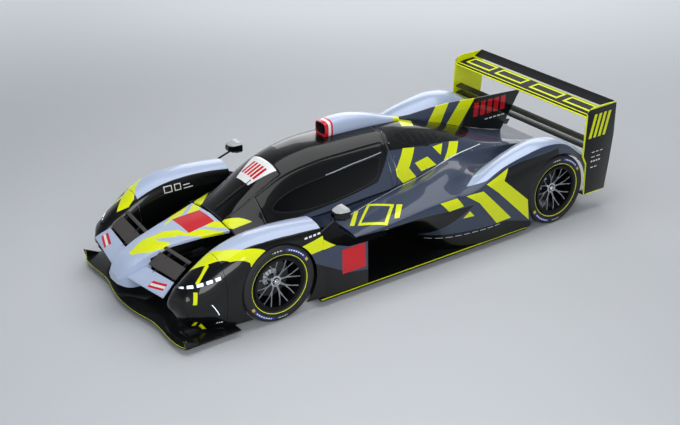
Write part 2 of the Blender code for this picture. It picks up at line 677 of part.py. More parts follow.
def make_canopy():
    """Roof, screen pillars, cowls and door posts in one moulding, open for the screen and the doors."""
    columns = (0, 1, SCREEN_EDGE, PILLAR_EDGE, 3, 4, SKIN_FOOT)
    lines = sorted({y for y, _ in CABIN_STATIONS[1:-1]} | {DOOR_FRONT_Y - DOOR_GAP, DOOR_REAR_Y + DOOR_GAP})
    lines = [CABIN_STATIONS[0][0] + SEAT_GAP] + lines + [COVER_FRONT_Y - PANEL_GAP]
    middle = len(columns) - 1

    def is_open(step, index):
        column = columns[index - middle] if index >= middle else columns[middle - 1 - index]
        if column < SCREEN_EDGE:
            return lines[step] < SCREEN_REAR_Y
        return column >= PILLAR_EDGE and DOOR_FRONT_Y - DOOR_GAP <= lines[step] < DOOR_REAR_Y + DOOR_GAP

    outer, inner = [across([[skin_point(y, column, CABIN_STATIONS, depth) for column in columns]
                            for y in lines])
                    for depth in (0.0, SHELL_T)]
    canopy = shell("canopy", outer, BLACK, inner_rows=inner, is_open=is_open)
    for name, side in SIDES:
        cut(canopy, knuckle("canopy_notch_" + name, side, (-KNUCKLE_HALF - 0.0003, KNUCKLE_HALF + 0.0003),
                            KNUCKLE_R + 0.001))
        fuse(canopy, *[knuckle("canopy_knuckle_%s_%d" % (name, index), side, run)
                       for index, run in enumerate(KNUCKLE_RUNS)])


def knuckle(title, side, run, radius=KNUCKLE_R):
    """A stretch of the door hinge's barrel, as a tool."""
    ends = [Vector(HINGE_POINT) + Vector(HINGE_AXIS) * along for along in run]
    return rod(title, *[(side * end.x, end.y, end.z) for end in ends], radius, sides=12)


def window_tool(title, side, inset=0.0):
    """The window's outline, drawn inwards from outside the skin, and shrunk for the pane."""
    middle = Vector((sum(y for y, _ in WINDOW_OUTLINE),
                     sum(z for _, z in WINDOW_OUTLINE))) / len(WINDOW_OUTLINE)
    outline = []
    for point in WINDOW_OUTLINE:
        inward = (middle - Vector(point)).normalized() * inset
        outline.append((point[0] + inward.x, point[1] + inward.y))
    return prism(title, outline, "x", *sorted((side * 0.22, side * 0.70)))


def make_door(name, side):
    """A door leaf from the roof edge to the sill, with its window let into a cut-out."""
    columns = (DOOR_EDGE, 2.5, 3, 4, 4.5, SKIN_FOOT)
    door = skin_panel("door_" + name, DOOR_FRONT_Y, DOOR_REAR_Y, columns, BLACK, DOOR_T, side)
    cut(door, window_tool("window_cutter_" + name, side),
        *[knuckle("door_notch_%s_%d" % (name, index), side, (low - 0.0005, high + 0.0005), KNUCKLE_R + 0.001)
          for index, (low, high) in enumerate(KNUCKLE_RUNS)])
    fuse(door, knuckle("door_knuckle_" + name, side, (-KNUCKLE_HALF, KNUCKLE_HALF)))
    pane = skin_panel("door_window_" + name, DOOR_FRONT_Y, DOOR_REAR_Y, columns, TINTED, GLASS_T, side)
    boolean(pane, window_tool("window_former_" + name, side, GLASS_SEAT), "INTERSECT")
    for leaf in (door, pane):
        put_origin(leaf, (side * HINGE_POINT[0], HINGE_POINT[1], HINGE_POINT[2]))


# Rear quarter: sidepod, rear fender and side panel in one moulding
# Columns: y, then (x, z) points from the seam with the engine cover over the fender to the foot

QUARTER_STATIONS = (
    (-0.600, ((0.566, 0.560), (0.620, 0.566), (0.700, 0.568), (0.780, 0.566), (0.850, 0.562), (0.900, 0.557),
              (0.935, 0.550), (0.950, 0.542), (0.940, 0.533), (0.900, 0.526), (0.780, 0.520),
              (0.650, 0.515))),
    (-0.300, ((0.558, 0.600), (0.620, 0.606), (0.700, 0.606), (0.780, 0.602), (0.850, 0.595), (0.910, 0.585),
              (0.955, 0.572), (0.975, 0.555), (0.965, 0.530), (0.920, 0.500), (0.780, 0.460),
              (0.620, 0.420))),
    (0.100, ((0.520, 0.640), (0.600, 0.655), (0.690, 0.650), (0.770, 0.640), (0.840, 0.630), (0.905, 0.615),
             (0.955, 0.598), (0.980, 0.570), (0.972, 0.520), (0.910, 0.440), (0.780, 0.330), (0.640, 0.220))),
    (0.200, ((0.503, 0.650), (0.590, 0.662), (0.680, 0.660), (0.760, 0.650), (0.832, 0.638), (0.900, 0.620),
             (0.952, 0.602), (0.980, 0.569), (0.976, 0.510), (0.925, 0.415), (0.820, 0.300), (0.700, 0.190))),
    (0.450, ((0.487, 0.672), (0.570, 0.690), (0.660, 0.690), (0.740, 0.675), (0.815, 0.655), (0.885, 0.632),
             (0.945, 0.608), (0.980, 0.565), (0.982, 0.460), (0.960, 0.340), (0.925, 0.220), (0.890, 0.050))),
    (0.800, ((0.457, 0.725), (0.530, 0.720), (0.610, 0.705), (0.690, 0.680), (0.760, 0.655), (0.830, 0.645),
             (0.900, 0.640), (0.965, 0.600), (0.984, 0.480), (0.990, 0.360), (0.992, 0.240), (0.992, 0.050))),
    (1.100, ((0.441, 0.728), (0.490, 0.680), (0.545, 0.640), (0.615, 0.635), (0.675, 0.690), (0.760, 0.745),
             (0.860, 0.765), (0.940, 0.735), (0.980, 0.600), (0.990, 0.450), (0.994, 0.280), (0.994, 0.050))),
    (1.360, ((0.433, 0.710), (0.470, 0.640), (0.520, 0.590), (0.580, 0.600), (0.632, 0.730), (0.730, 0.808),
             (0.850, 0.828), (0.945, 0.790), (0.984, 0.680), (0.994, 0.500), (0.998, 0.300), (0.998, 0.050))),
    (1.620, ((0.423, 0.680), (0.450, 0.610), (0.500, 0.560), (0.565, 0.570), (0.612, 0.750), (0.715, 0.838),
             (0.840, 0.858), (0.945, 0.825), (0.986, 0.745), (0.995, 0.600), (0.998, 0.400), (0.998, 0.200))),
    (1.880, ((0.413, 0.632), (0.435, 0.575), (0.490, 0.535), (0.560, 0.540), (0.608, 0.690), (0.710, 0.790),
             (0.835, 0.812), (0.940, 0.785), (0.982, 0.700), (0.986, 0.560), (0.987, 0.400), (0.987, 0.200))),
    (2.080, ((0.406, 0.590), (0.430, 0.535), (0.490, 0.505), (0.560, 0.505), (0.608, 0.580), (0.710, 0.665),
             (0.835, 0.690), (0.935, 0.670), (0.978, 0.600), (0.9872, 0.500), (0.9877, 0.380),
             (0.9877, 0.200))),
    (2.360, ((0.395, 0.520), (0.430, 0.455), (0.490, 0.430), (0.550, 0.425), (0.610, 0.425), (0.710, 0.435),
             (0.835, 0.445), (0.930, 0.440), (0.970, 0.425), (0.984, 0.400), (0.9877, 0.360),
             (0.9877, 0.300))),
)
TAIL_FOOT_Z = 0.300
TOOL_OVER = 0.10    # how far a cutting tool reaches past what it cuts


def upright_rim(row, thickness):
    """A row's inner line that starts straight below its first point, so that the rim stands upright."""
    inner = inner_line(row, thickness)
    (x, y, z), beside = row[0], row[1]
    run = Vector((beside[0] - x, beside[2] - z))
    inner[0] = (x, y, z - thickness * run.length / run.x)
    return inner


def make_rear_quarter(name, side):
    rows = rows_from(QUARTER_STATIONS, inner_fixed=True)
    quarter = shell("rear_quarter_" + name, rows, BLUE, side=side,
                    inner_rows=[upright_rim(row, SHELL_T) for row in rows])
    reach = sorted((side * ARCH_REAR_INNER_X, side * (HALF_WIDTH + 0.05)))
    arch = rod("rear_arch_" + name, (reach[0], REAR_AXLE_Y, HUB_Z), (reach[1], REAR_AXLE_Y, HUB_Z),
               ARCH_REAR_R, sides=40)
    front_y, tail_y = QUARTER_STATIONS[0][0] - TOOL_OVER, QUARTER_STATIONS[-1][0] + TOOL_OVER
    foot = box("rear_foot_" + name, (min(reach) - HALF_WIDTH, front_y, -TOOL_OVER),
               (max(reach) + HALF_WIDTH, REAR_AXLE_Y - TOOL_OVER, FLOOR_TOP + SEAT_GAP))
    open_tail = box("rear_tail_cut_" + name, (reach[0], REAR_AXLE_Y, -TOOL_OVER),
                    (reach[1], tail_y, TAIL_FOOT_Z))
    cut(quarter, arch, foot, open_tail)
    return quarter


def make_engine_cover():
    columns = (0, 1, 2, 3, 4, SKIN_FOOT)
    skin_panel("engine_cover", COVER_FRONT_Y, COVER_STATIONS[-1][0], columns, BLACK, table=COVER_STATIONS)


# Roof scoop and its duct, which fades into the engine cover
# Columns: y, half width, bottom z, top z

SCOOP_STATIONS = ((-0.320, 0.085, 1.105, 1.250), (-0.180, 0.088, 1.100, 1.268), (0.160, 0.085, 1.090, 1.226),
                  (0.430, 0.060, 1.065, 1.135), (0.560, 0.030, 1.040, 1.092))
SCOOP_WALL = 0.012


def scoop_ring(y, half, low, high):
    corner = min(half, (high - low) / 2) * 0.55
    ring = []
    for cx, cz, start in ((half - corner, high - corner, 0), (-half + corner, high - corner, 90),
                          (-half + corner, low + corner, 180), (half - corner, low + corner, 270)):
        ring += [(x, y, z) for x, z in arc((cx, cz), corner, start, start + 90, 2)]
    return ring


def make_scoop():
    rings = [scoop_ring(*line) for line in SCOOP_STATIONS]
    scoop = closed_loft("roof_scoop", rings, BLUE)
    y, half, low, high = SCOOP_STATIONS[0]
    roof_z = skin_point(y, 0)[2]
    inner = [scoop_ring(y - 0.01, half - SCOOP_WALL, roof_z + SCOOP_WALL, high - SCOOP_WALL),
             scoop_ring(0.10, half - 0.02, roof_z + SCOOP_WALL, high - 0.045)]
    throat = hide_tool(closed_loft("scoop_throat", inner, None, TOOLS))
    # The duct's underside follows the roof and the engine cover
    roof_lines = [(CABIN_STATIONS, y) for y, _ in CABIN_STATIONS[-3:]]
    roof_lines += [(COVER_STATIONS, y) for y, _ in COVER_STATIONS[1:3]]
    over, under = [across([[skin_point(y, column, table, depth) for column in (0, 1, 2)]
                           for table, y in roof_lines]) for depth in (-PANEL_GAP, 0.09)]
    saddle = shell("scoop_saddle", over, None, inner_rows=under, collection=TOOLS)
    cut(scoop, throat, saddle)


# Fin: a blade on the spine, drawn as its side outline
# Columns: y, z

FIN_TOP = ((0.575, 1.089), (0.700, 1.081), (0.960, 1.092), (1.225, 1.090), (1.520, 1.062), (2.0895, 1.027),
           (2.0895, 1.0192), (2.120, 1.0130))
FIN_FOOT = (1.880, 1.620, 1.360, 1.100, 0.800)    # stations where the blade stands on the spine
FIN_T = 0.012


def make_fin():
    foot = [(y, skin_point(y, 0, COVER_STATIONS)[2] + PANEL_GAP) for y in FIN_FOOT]
    front = (FIN_TOP[0][0], skin_point(FIN_TOP[0][0], 0, COVER_STATIONS)[2] + PANEL_GAP)
    prism("shark_fin", list(FIN_TOP) + foot + [front], "x", -FIN_T / 2, FIN_T / 2, BLUE, CAR)


# Rear wing: main plane and flap on short brackets, between two plates that reach down to the floor

MAIN_CHORD = ((0.000, 0.000), (0.040, 0.022), (0.120, 0.034), (0.220, 0.040), (0.270, 0.042),
              (0.220, 0.022), (0.120, 0.008), (0.030, -0.006))
FLAP_CHORD = ((0.262, 0.050), (0.285, 0.062), (0.330, 0.082), (0.372, 0.112), (0.332, 0.074), (0.285, 0.050))


# The plates' side outline, columns: y, z
ENDPLATE_OUTLINE = ((2.475, 1.115), (2.200, 1.122), (2.140, 1.112), (2.100, 1.080), (2.083, 1.040),
                    (2.064, 0.620),
                    (2.112, 0.536), (2.114, 0.210), (2.395, 0.210), (2.434, 0.468), (2.471, 0.777))
# The lower slats, columns: leading edge y, leading edge z, chord, rise
BEAM_SLATS = ((2.095, 0.700, 0.085, 0.018), (2.090, 0.775, 0.080, 0.022))
LINK_INSET = 0.108
TIE_INSET = 0.388
# The winglets at the plates' feet, drawn in plan; columns: distance in from the side, y
WINGLET_OUTLINE = ((0.000, 2.150), (0.000, 2.330), (0.012, 2.400), (0.040, 2.450), (0.140, 2.445),
                   (0.130, 2.116),
                   (0.020, 2.116))
WINGLET_Z = 0.203
WINGLET_T = 0.010


def make_rear_wing():
    reach = WING_HALF_W + ENDPLATE_T / 2
    wing = prism("rear_wing", [(WING_LE_Y + y, WING_Z + z) for y, z in MAIN_CHORD], "x", -reach, reach,
                 BLACK, CAR)
    tools = [prism("rear_wing_flap", [(WING_LE_Y + y, WING_Z + z) for y, z in FLAP_CHORD], "x", -reach,
                   reach)]
    for index in range(-2, 3):
        x = index / 2 * (WING_HALF_W - LINK_INSET)
        tools.append(box("rear_wing_link_%d" % index, (x - 0.003, WING_LE_Y + 0.235, WING_Z + 0.030),
                         (x + 0.003, WING_LE_Y + 0.300, WING_Z + 0.064)))
    for index, (y, z, chord, rise) in enumerate(BEAM_SLATS):
        outline = [(y, z), (y + chord * 0.25, z + 0.008 + rise * 0.25), (y + chord, z + rise + 0.003),
                   (y + chord, z + rise), (y + chord * 0.4, z - 0.003 + rise * 0.3)]
        tools.append(prism("beam_slat_%d" % index, outline, "x", -reach, reach))
    for index in range(-1, 2):
        x = index * (WING_HALF_W - TIE_INSET)
        tools.append(box("beam_tie_%d" % index, (x - 0.004, 2.115, 0.704), (x + 0.004, 2.155, 0.792)))
    for name, side in SIDES:
        tools.append(prism("endplate_" + name, list(ENDPLATE_OUTLINE), "x",
                           *sorted((side * WING_HALF_W, side * (WING_HALF_W + ENDPLATE_T)))))
        tools.append(prism("winglet_" + name,
                           [(side * (HALF_WIDTH - inset), y) for inset, y in WINGLET_OUTLINE], "z",
                           WINGLET_Z, WINGLET_Z + WINGLET_T))
    fuse(wing, *tools)


# Diffuser: ramp, side walls and strakes behind the flat floor

DIFFUSER_HALF_W = REAR_WAIST - 0.010
DIFFUSER_CURVE = ((FLOOR_REAR_Y + SEAT_GAP, FLOOR_Z), (1.60, 0.090), (1.90, 0.175), (2.15, 0.260),
                  (2.36, 0.330))
STRAKE_EDGE = DIFFUSER_HALF_W - 0.002
STRAKES = (-STRAKE_EDGE, -0.400, -0.200, 0.200, 0.400, STRAKE_EDGE)


def make_diffuser():
    lower = list(DIFFUSER_CURVE)
    upper = [(y, z + 0.012) for y, z in reversed(DIFFUSER_CURVE)]
    ramp = prism("diffuser", lower + upper, "x", -DIFFUSER_HALF_W, DIFFUSER_HALF_W, CARBON, CAR)
    foot = FLOOR_Z + 0.004
    for index, x in enumerate(STRAKES):
        outline = [(1.48, foot), (2.34, foot + 0.030)] + [(y, z + 0.006) for y,
                                                          z in reversed(DIFFUSER_CURVE[1:])]
        fuse(ramp, prism("diffuser_strake_%d" % index, outline, "x", x - 0.004, x + 0.004))


# Wheels: a hollow tyre on a turned rim, with forked spokes, a centre nut and the brake disc behind

SPOKE_FACE = 0.020     # how far the spokes' outer ends sit inside the rim's outer face
SPOKE_DISH = 0.045     # how much deeper the spokes sit at the hub
SPOKE_T = 0.012
BEAD_INSET = 0.022
BEAD_T = 0.012
TREAD_T = 0.018
FORK_R = 0.092
STEM_ANGLE = 13.0
ARM_ANGLE = 1.9
SPOKE_HUB_R = 0.050
NUT_R = 0.030
BELL_R = 0.075


def rim_half_width(tyre_w):
    return tyre_w / 2 - 0.006


def make_tyre(title, x, y, tyre_w, side):
    half = tyre_w / 2
    bead = half - BEAD_INSET
    round_r = TYRE_SHOULDER_R
    foot = BEAD_R + SEAT_GAP
    outer = [(bead, foot), (bead, RIM_FLANGE_R + 0.002), (half - 0.004, 0.272), (half, 0.312),
             (half - 0.007, TYRE_R - 0.011), (half - round_r, TYRE_R)]
    inner = [(half - round_r - 0.006, TYRE_R - TREAD_T), (bead - BEAD_T, foot)]
    profile = [(-px, r) for px, r in outer] + [(px, r) for px, r in reversed(outer)]
    profile += [(px, r) for px, r in reversed(inner)] + [(-px, r) for px, r in inner]
    centre = (x * side, y, HUB_Z)
    return put_origin(turned(title, profile, centre, WHEEL_SEGMENTS, RUBBER), centre)


def make_rim(title, x, y, tyre_w, side):
    half = rim_half_width(tyre_w)
    seat = tyre_w / 2 - BEAD_INSET + SEAT_GAP
    flange = [(half, RIM_FLANGE_R), (seat, RIM_FLANGE_R), (seat, BEAD_R), (seat - 0.045, RIM_BARREL_R)]
    lip = (half - 0.006, RIM_BARREL_R - RIM_WALL)
    profile = flange + [(-px, r) for px, r in reversed(flange)] + [(-lip[0], lip[1]), lip]
    centre = Vector((x * side, y, HUB_Z))
    rim = turned(title, profile, centre, WHEEL_SEGMENTS, RIM)
    face = half - SPOKE_FACE
    deep = face - SPOKE_DISH
    fuse(rim, spoke_star(title + "_spokes", centre, face, deep, side),
         wheel_core(title + "_core", centre, deep, side))
    return put_origin(rim, centre)


def spoke_star(title, centre, face, deep, side):
    """All forked spokes in one plate: a stem from the hub that splits into two arms at the rim."""
    def spot(radius, degrees, depth):
        turn = math.radians(degrees)
        return (centre.x + side * depth, centre.y + radius * math.cos(turn),
                centre.z + radius * math.sin(turn))
    bm = bmesh.new()
    step = 360 / SPOKE_PAIRS
    reach = RIM_BARREL_R - RIM_WALL / 2
    fork_depth = deep + (face - deep) * 0.40
    # Columns: radius, angle from the spoke's middle, depth of the front face
    plan = ((SPOKE_HUB_R, -STEM_ANGLE, deep), (FORK_R, -STEM_ANGLE * 0.40, fork_depth),
            (reach, -step / 4 - ARM_ANGLE, face), (reach, -step / 4 + ARM_ANGLE, face),
            (FORK_R * 1.25, 0.0, fork_depth), (reach, step / 4 - ARM_ANGLE, face),
            (reach, step / 4 + ARM_ANGLE, face), (FORK_R, STEM_ANGLE * 0.40, fork_depth),
            (SPOKE_HUB_R, STEM_ANGLE, deep))
    fronts, backs = [], []
    for index in range(SPOKE_PAIRS):
        middle = step * index + step / 4
        front = [bm.verts.new(spot(r, middle + turn, depth)) for r, turn, depth in plan]
        back = [bm.verts.new(spot(r, middle + turn, depth - SPOKE_T)) for r, turn, depth in plan]
        for layer in (front, back):
            bm.faces.new((layer[0], layer[1], layer[7], layer[8]))
            bm.faces.new((layer[1], layer[4], layer[7]))
            bm.faces.new((layer[1], layer[2], layer[3], layer[4]))
            bm.faces.new((layer[4], layer[5], layer[6], layer[7]))
        fronts += front
        backs += back
    count = len(plan)
    hub_marks = [mark for index in range(SPOKE_PAIRS) for mark in (index * count, index * count + count - 1)]
    for layer in (fronts, backs):
        bm.faces.new([layer[mark] for mark in hub_marks])
    for mark in range(len(fronts)):
        after = (mark + 1) % len(fronts)
        bm.faces.new((fronts[mark], fronts[after], backs[after], backs[mark]))
    bmesh.ops.recalc_face_normals(bm, faces=bm.faces)
    return hide_tool(add_object(title, as_mesh(title, bm), None, TOOLS))


def wheel_core(title, centre, deep, side):
    """Centre nut, hub and brake disc, as one turned solid."""
    disc_in = -DISC_INSET
    steps = ((disc_in, DISC_R), (disc_in + DISC_T, DISC_R), (disc_in + DISC_T, BELL_R),
             (disc_in + DISC_T + 0.012, HUB_R), (deep + 0.003, HUB_R), (deep + 0.003, NUT_R),
             (deep + 0.030, NUT_R * 0.86))
    rings = [[(centre.x + side * depth, y, z) for y, z in arc((centre.y, centre.z), radius, 0, 342, 19)]
             for depth, radius in steps]
    return hide_tool(closed_loft(title, rings, None, TOOLS))


# Front corner: an upright that steers about the kingpin, with the brake caliper bolted to it

UPRIGHT_T = 0.040
CALIPER_SPAN = 50
CALIPER_CLEAR = 0.006


def make_front_upright(name, side):
    y, z = FRONT_AXLE_Y, HUB_Z
    disc_in = FRONT_WHEEL_X - DISC_INSET
    outer = disc_in - SEAT_GAP
    rise = JOINT_DROP - 0.022
    outline = [(y - 0.030, z - rise), (y + 0.030, z - rise), (y + 0.055, z), (y + 0.030, z + rise),
               (y - 0.030, z + rise), (y - 0.055, z)]
    web = KINGPIN_X + UPRIGHT_T / 2
    upright = prism("upright_front_" + name, outline, "x",
                    *sorted((side * (KINGPIN_X - UPRIGHT_T / 2), side * web)), CASTING, CAR)
    bearing = rod("bearing_" + name, (side * (KINGPIN_X - 0.01), y, z), (side * outer, y, z), 0.052, sides=16)
    fuse(upright, bearing, make_caliper("front_" + name, FRONT_WHEEL_X, y, side, web))
    fuse(upright, box("steering_arm_" + name,
                      *sorted_corner((side * (KINGPIN_X - 0.050), y + 0.030, z - 0.060),
                                                             (side * (KINGPIN_X - 0.010), y + 0.125,
                                                              z - 0.045))))
    put_origin(upright, (side * KINGPIN_X, y, z))


def sorted_corner(first, second):
    low = tuple(min(a, b) for a, b in zip(first, second))
    high = tuple(max(a, b) for a, b in zip(first, second))
    return low, high


def make_caliper(title, wheel_x, y, side, web):
    """A horseshoe over the front of the disc, on an arm from the upright."""
    disc_in = wheel_x - DISC_INSET
    low = disc_in - 0.024
    high = disc_in + DISC_T + 0.024
    outer = arc((y, HUB_Z), 0.196, 180 - CALIPER_SPAN / 2, 180 + CALIPER_SPAN / 2, 5)
    inner = arc((y, HUB_Z), 0.118, 180 + CALIPER_SPAN / 2, 180 - CALIPER_SPAN / 2, 3)
    block = prism("caliper_" + title, outer + inner, "x", *sorted((side * low, side * high)))
    slot = prism("caliper_slot_" + title,
                 arc((y, HUB_Z), DISC_R + CALIPER_CLEAR, 130, 230, 12) + [(y, HUB_Z)],
                 "x", *sorted((side * (disc_in - CALIPER_CLEAR), side * (disc_in + DISC_T + CALIPER_CLEAR))))
    cut(block, slot)
    arm = box("caliper_arm_" + title, *sorted_corner((side * (web - 0.030), y - 0.130, HUB_Z - 0.030),
                                                   (side * (low + 0.010), y - 0.030, HUB_Z + 0.030)))
    return fuse(block, arm)


# Wishbones: two triangles of streamlined tube from the tub to the joints on the kingpin
# Columns: name, inner pick-up x, spread in y, inner z, offset of the outer joint

TUBE_R = 0.012
FRONT_PICKUP_X = 0.3625
REAR_PICKUP_X = 0.185


def make_front_suspension(name, side):
    y, z = FRONT_AXLE_Y, HUB_Z
    inner = FRONT_PICKUP_X
    base = box("front_suspension_" + name,
               *sorted_corner((side * (inner - 0.002), y - 0.010, z - 0.150),
                              (side * (inner + 0.018), y + 0.270, z + 0.140)),
               CASTING, CAR)
    tools = []
    for tag, drop, pickup_z in (("upper", JOINT_DROP, z + 0.115), ("lower", -JOINT_DROP, z - 0.125)):
        joint = Vector((side * KINGPIN_X, y, z + drop))
        stub_end = z + drop - math.copysign(0.0217, drop)
        tools.append(rod("joint_%s_%s" % (tag, name), (joint.x, y, z + drop + math.copysign(0.016, drop)),
                         (joint.x, y, stub_end), 0.018, sides=12))
        for mark, run in (("fore", 0.005), ("aft", 0.250)):
            tools.append(rod("arm_%s_%s_%s" % (tag, mark, name), (side * (inner + 0.010), y + run, pickup_z),
                             joint, TUBE_R))
    tools.append(rod("pushrod_" + name, (side * (inner + 0.012), y + 0.10, z + 0.120),
                     (side * (KINGPIN_X - 0.050), y + 0.004, z - JOINT_DROP + 0.004), 0.010))
    fuse(base, *tools)


def make_rear_suspension(name, side):
    y, z = REAR_AXLE_Y, HUB_Z
    inner = REAR_PICKUP_X
    disc_in = REAR_WHEEL_X - DISC_INSET
    web = disc_in - 0.050
    outline = [(y - 0.035, z - 0.13), (y + 0.035, z - 0.13), (y + 0.060, z), (y + 0.035, z + 0.13),
               (y - 0.035, z + 0.13), (y - 0.060, z)]
    upright = prism("rear_suspension_" + name, outline, "x",
                    *sorted((side * (web - 0.035), side * web)), CASTING, CAR)
    tools = [rod("rear_bearing_" + name, (side * (web - 0.02), y, z), (side * (disc_in - SEAT_GAP), y, z),
                 0.055,
                 sides=16),
             rod("driveshaft_" + name, (side * (inner + 0.010), y, z), (side * (web - 0.01), y, z), 0.018,
                 sides=10),
             make_caliper("rear_" + name, REAR_WHEEL_X, y, side, web)]
    base = box("rear_pickup_" + name,
               *sorted_corner((side * inner, y - 0.270, z - 0.150),
                              (side * (inner + 0.018), y + 0.060, z + 0.130)))
    tools.append(base)
    for tag, drop in (("upper", 0.105), ("lower", -0.115)):
        for mark, run in (("fore", -0.250), ("aft", 0.040)):
            tools.append(rod("rear_arm_%s_%s_%s" % (tag, mark, name),
                             (side * (inner + 0.010), y + run, z + drop),
                             (side * (web - 0.017), y, z + drop), TUBE_R))
    fuse(upright, *tools)


# Power unit: one block for the engine and the gearbox behind it, which carries the rear suspension

ENGINE_LOW_Z = FLOOR_TOP + SEAT_GAP
GEARBOX_REAR_Y = 1.86
CRASH_BOX_END_Y = 2.38


def make_engine():
    engine = box("engine", (-0.240, TUB_REAR_Y + SEAT_GAP, ENGINE_LOW_Z), (0.240, 0.950, 0.520), CASTING, CAR)
    gearbox = box("gearbox_case", (-REAR_PICKUP_X + SEAT_GAP, 0.90, 0.200),
                  (REAR_PICKUP_X - SEAT_GAP, GEARBOX_REAR_Y, 0.500))
    rings = []
    for y, half, low, high in ((GEARBOX_REAR_Y - 0.020, 0.130, 0.300, 0.440),
                               (CRASH_BOX_END_Y, 0.070, 0.350, 0.420)):
        rings.append([(-half, y, low), (half, y, low), (half, y, high), (-half, y, high)])
    fuse(engine, gearbox, hide_tool(closed_loft("crash_box", rings, None, TOOLS)))
    box("rain_lamp", (-0.045, CRASH_BOX_END_Y + SEAT_GAP, 0.358), (0.045, CRASH_BOX_END_Y + 0.015, 0.412),
        LAMP_RED, CAR)


# Cockpit: seat and steering wheel on the car's right


def make_seat():
    base = FLOOR_TOP + 0.03 + 2 * SEAT_GAP
    outline = [(-0.560, base), (0.050, base), (0.150, 0.720), (0.070, 0.720), (-0.060, 0.300),
               (-0.200, 0.215),
               (-0.560, 0.260)]
    seat = prism("seat", outline, "x", SEAT_X - 0.190, SEAT_X + 0.190, CLOTH, CAR)
    hollow = prism("seat_hollow", [(-0.570, 0.300), (-0.560, 0.190), (-0.180, 0.150), (0.010, 0.300),
                                   (0.100, 0.800),
                                   (-0.300, 0.800)], "x", SEAT_X - 0.140, SEAT_X + 0.140)
    cut(seat, hollow)


def make_steering_wheel():
    """A flat-topped wheel with open grips, on a quick-release hub at the end of the column."""
    outline = [(-0.130, -0.050), (-0.120, -0.085), (-0.060, -0.075), (0.060, -0.075), (0.120, -0.085),
               (0.130, -0.050), (0.135, 0.030), (0.115, 0.080), (0.050, 0.060), (-0.050, 0.060),
               (-0.115, 0.080),
               (-0.135, 0.030)]
    body = prism("steering_wheel", outline, "y", -0.015, 0.015, BLACK, CAR)
    for index, side in enumerate((-1, 1)):
        hole = box("grip_hole_%d" % index,
                   *sorted_corner((side * 0.075, -0.05, -0.045), (side * 0.110, 0.05, 0.045)))
        hole.parent = body
        cut(body, hole)
    hub = rod("steering_hub", (0, -STEER_HUB_DEPTH, 0), (0, 0.0, 0), 0.026, sides=12)
    hub.parent = body
    fuse(body, hub)
    body.location = STEER_WHEEL
    body.rotation_euler = (COLUMN_TILT, 0, 0)


# Door mirrors: pods on swept stalks from the fenders' rear ends

MIRROR_X = HALF_WIDTH - 0.085
MIRROR_FOOT_X = HALF_WIDTH - 0.060
MIRROR_Y = -0.730
MIRROR_Z = 0.800


def make_mirror(name, side):
    rings = []
    for y, half_x, half_z in ((MIRROR_Y - 0.080, 0.030, 0.020), (MIRROR_Y - 0.045, 0.068, 0.040),
                              (MIRROR_Y + 0.010, 0.080, 0.052), (MIRROR_Y + 0.050, 0.082, 0.054)):
        ring = [(side * MIRROR_X + cx * half_x, y, MIRROR_Z + cz * half_z) for cx, cz in
                ((-0.7, -1), (0.7, -1), (1, -0.6), (1, 0.6), (0.7, 1), (-0.7, 1), (-1, 0.6), (-1, -0.6))]
        rings.append(ring)
    pod = closed_loft("mirror_" + name, rings, BLACK)
    foot = Vector((side * MIRROR_FOOT_X, FENDER_REAR_Y, 0.690))
    head = Vector((side * MIRROR_X, MIRROR_Y - 0.020, MIRROR_Z - 0.030))
    stalk = rod("mirror_stalk_" + name, foot + (foot - head) * 0.1, head, 0.010)
    fuse(pod, stalk)
    cut(pod, box("mirror_foot_" + name, *sorted_corner((side * (MIRROR_FOOT_X - 0.14), FENDER_REAR_Y - 0.20,
                                                        0.60),
                                                       (side * (HALF_WIDTH + 0.05), FENDER_REAR_Y + SEAT_GAP,
                                                        0.80))))


def make_tail_lamp(name, side):
    front_y = QUARTER_STATIONS[-1][0] + SEAT_GAP
    low, high = sorted_corner((side * outboard(0.930), front_y, 0.404),
                              (side * outboard(0.640), front_y + 0.012, 0.424))
    box("tail_lamp_" + name, low, high, LAMP_RED, CAR)


def make_wheels():
    for name, side in SIDES:
        for end, x, y, width in (("front", FRONT_WHEEL_X, FRONT_AXLE_Y, TYRE_FRONT_W),
                                 ("rear", REAR_WHEEL_X, REAR_AXLE_Y, TYRE_REAR_W)):
            make_tyre("tyre_%s_%s" % (end, name), x, y, width, side)
            make_rim("rim_%s_%s" % (end, name), x, y, width, side)


def build_all():
    make_floor()
    make_splitter()
    make_monocoque()
    make_nose()
    make_windscreen()
    make_canopy()
    make_engine_cover()
    make_scoop()
    make_fin()
    make_rear_wing()
    make_diffuser()
    make_engine()
    make_seat()
    make_steering_wheel()
    make_wheels()
    for name, side in SIDES:
        make_front_fender(name, side)
        make_lamp_pod(name, side)
        make_front_wing(name, side)
        make_door(name, side)
        make_rear_quarter(name, side)
        make_front_upright(name, side)
        make_front_suspension(name, side)
        make_rear_suspension(name, side)
        make_mirror(name, side)
        make_tail_lamp(name, side)


build_all()
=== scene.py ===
"""Looks of a closed sports prototype race car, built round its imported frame.

Metres, +Z up, nose towards -Y, the car's left side towards +X.
"""
import math

import bmesh
import bpy
from mathutils import Matrix, Vector
from mathutils.geometry import tessellate_polygon


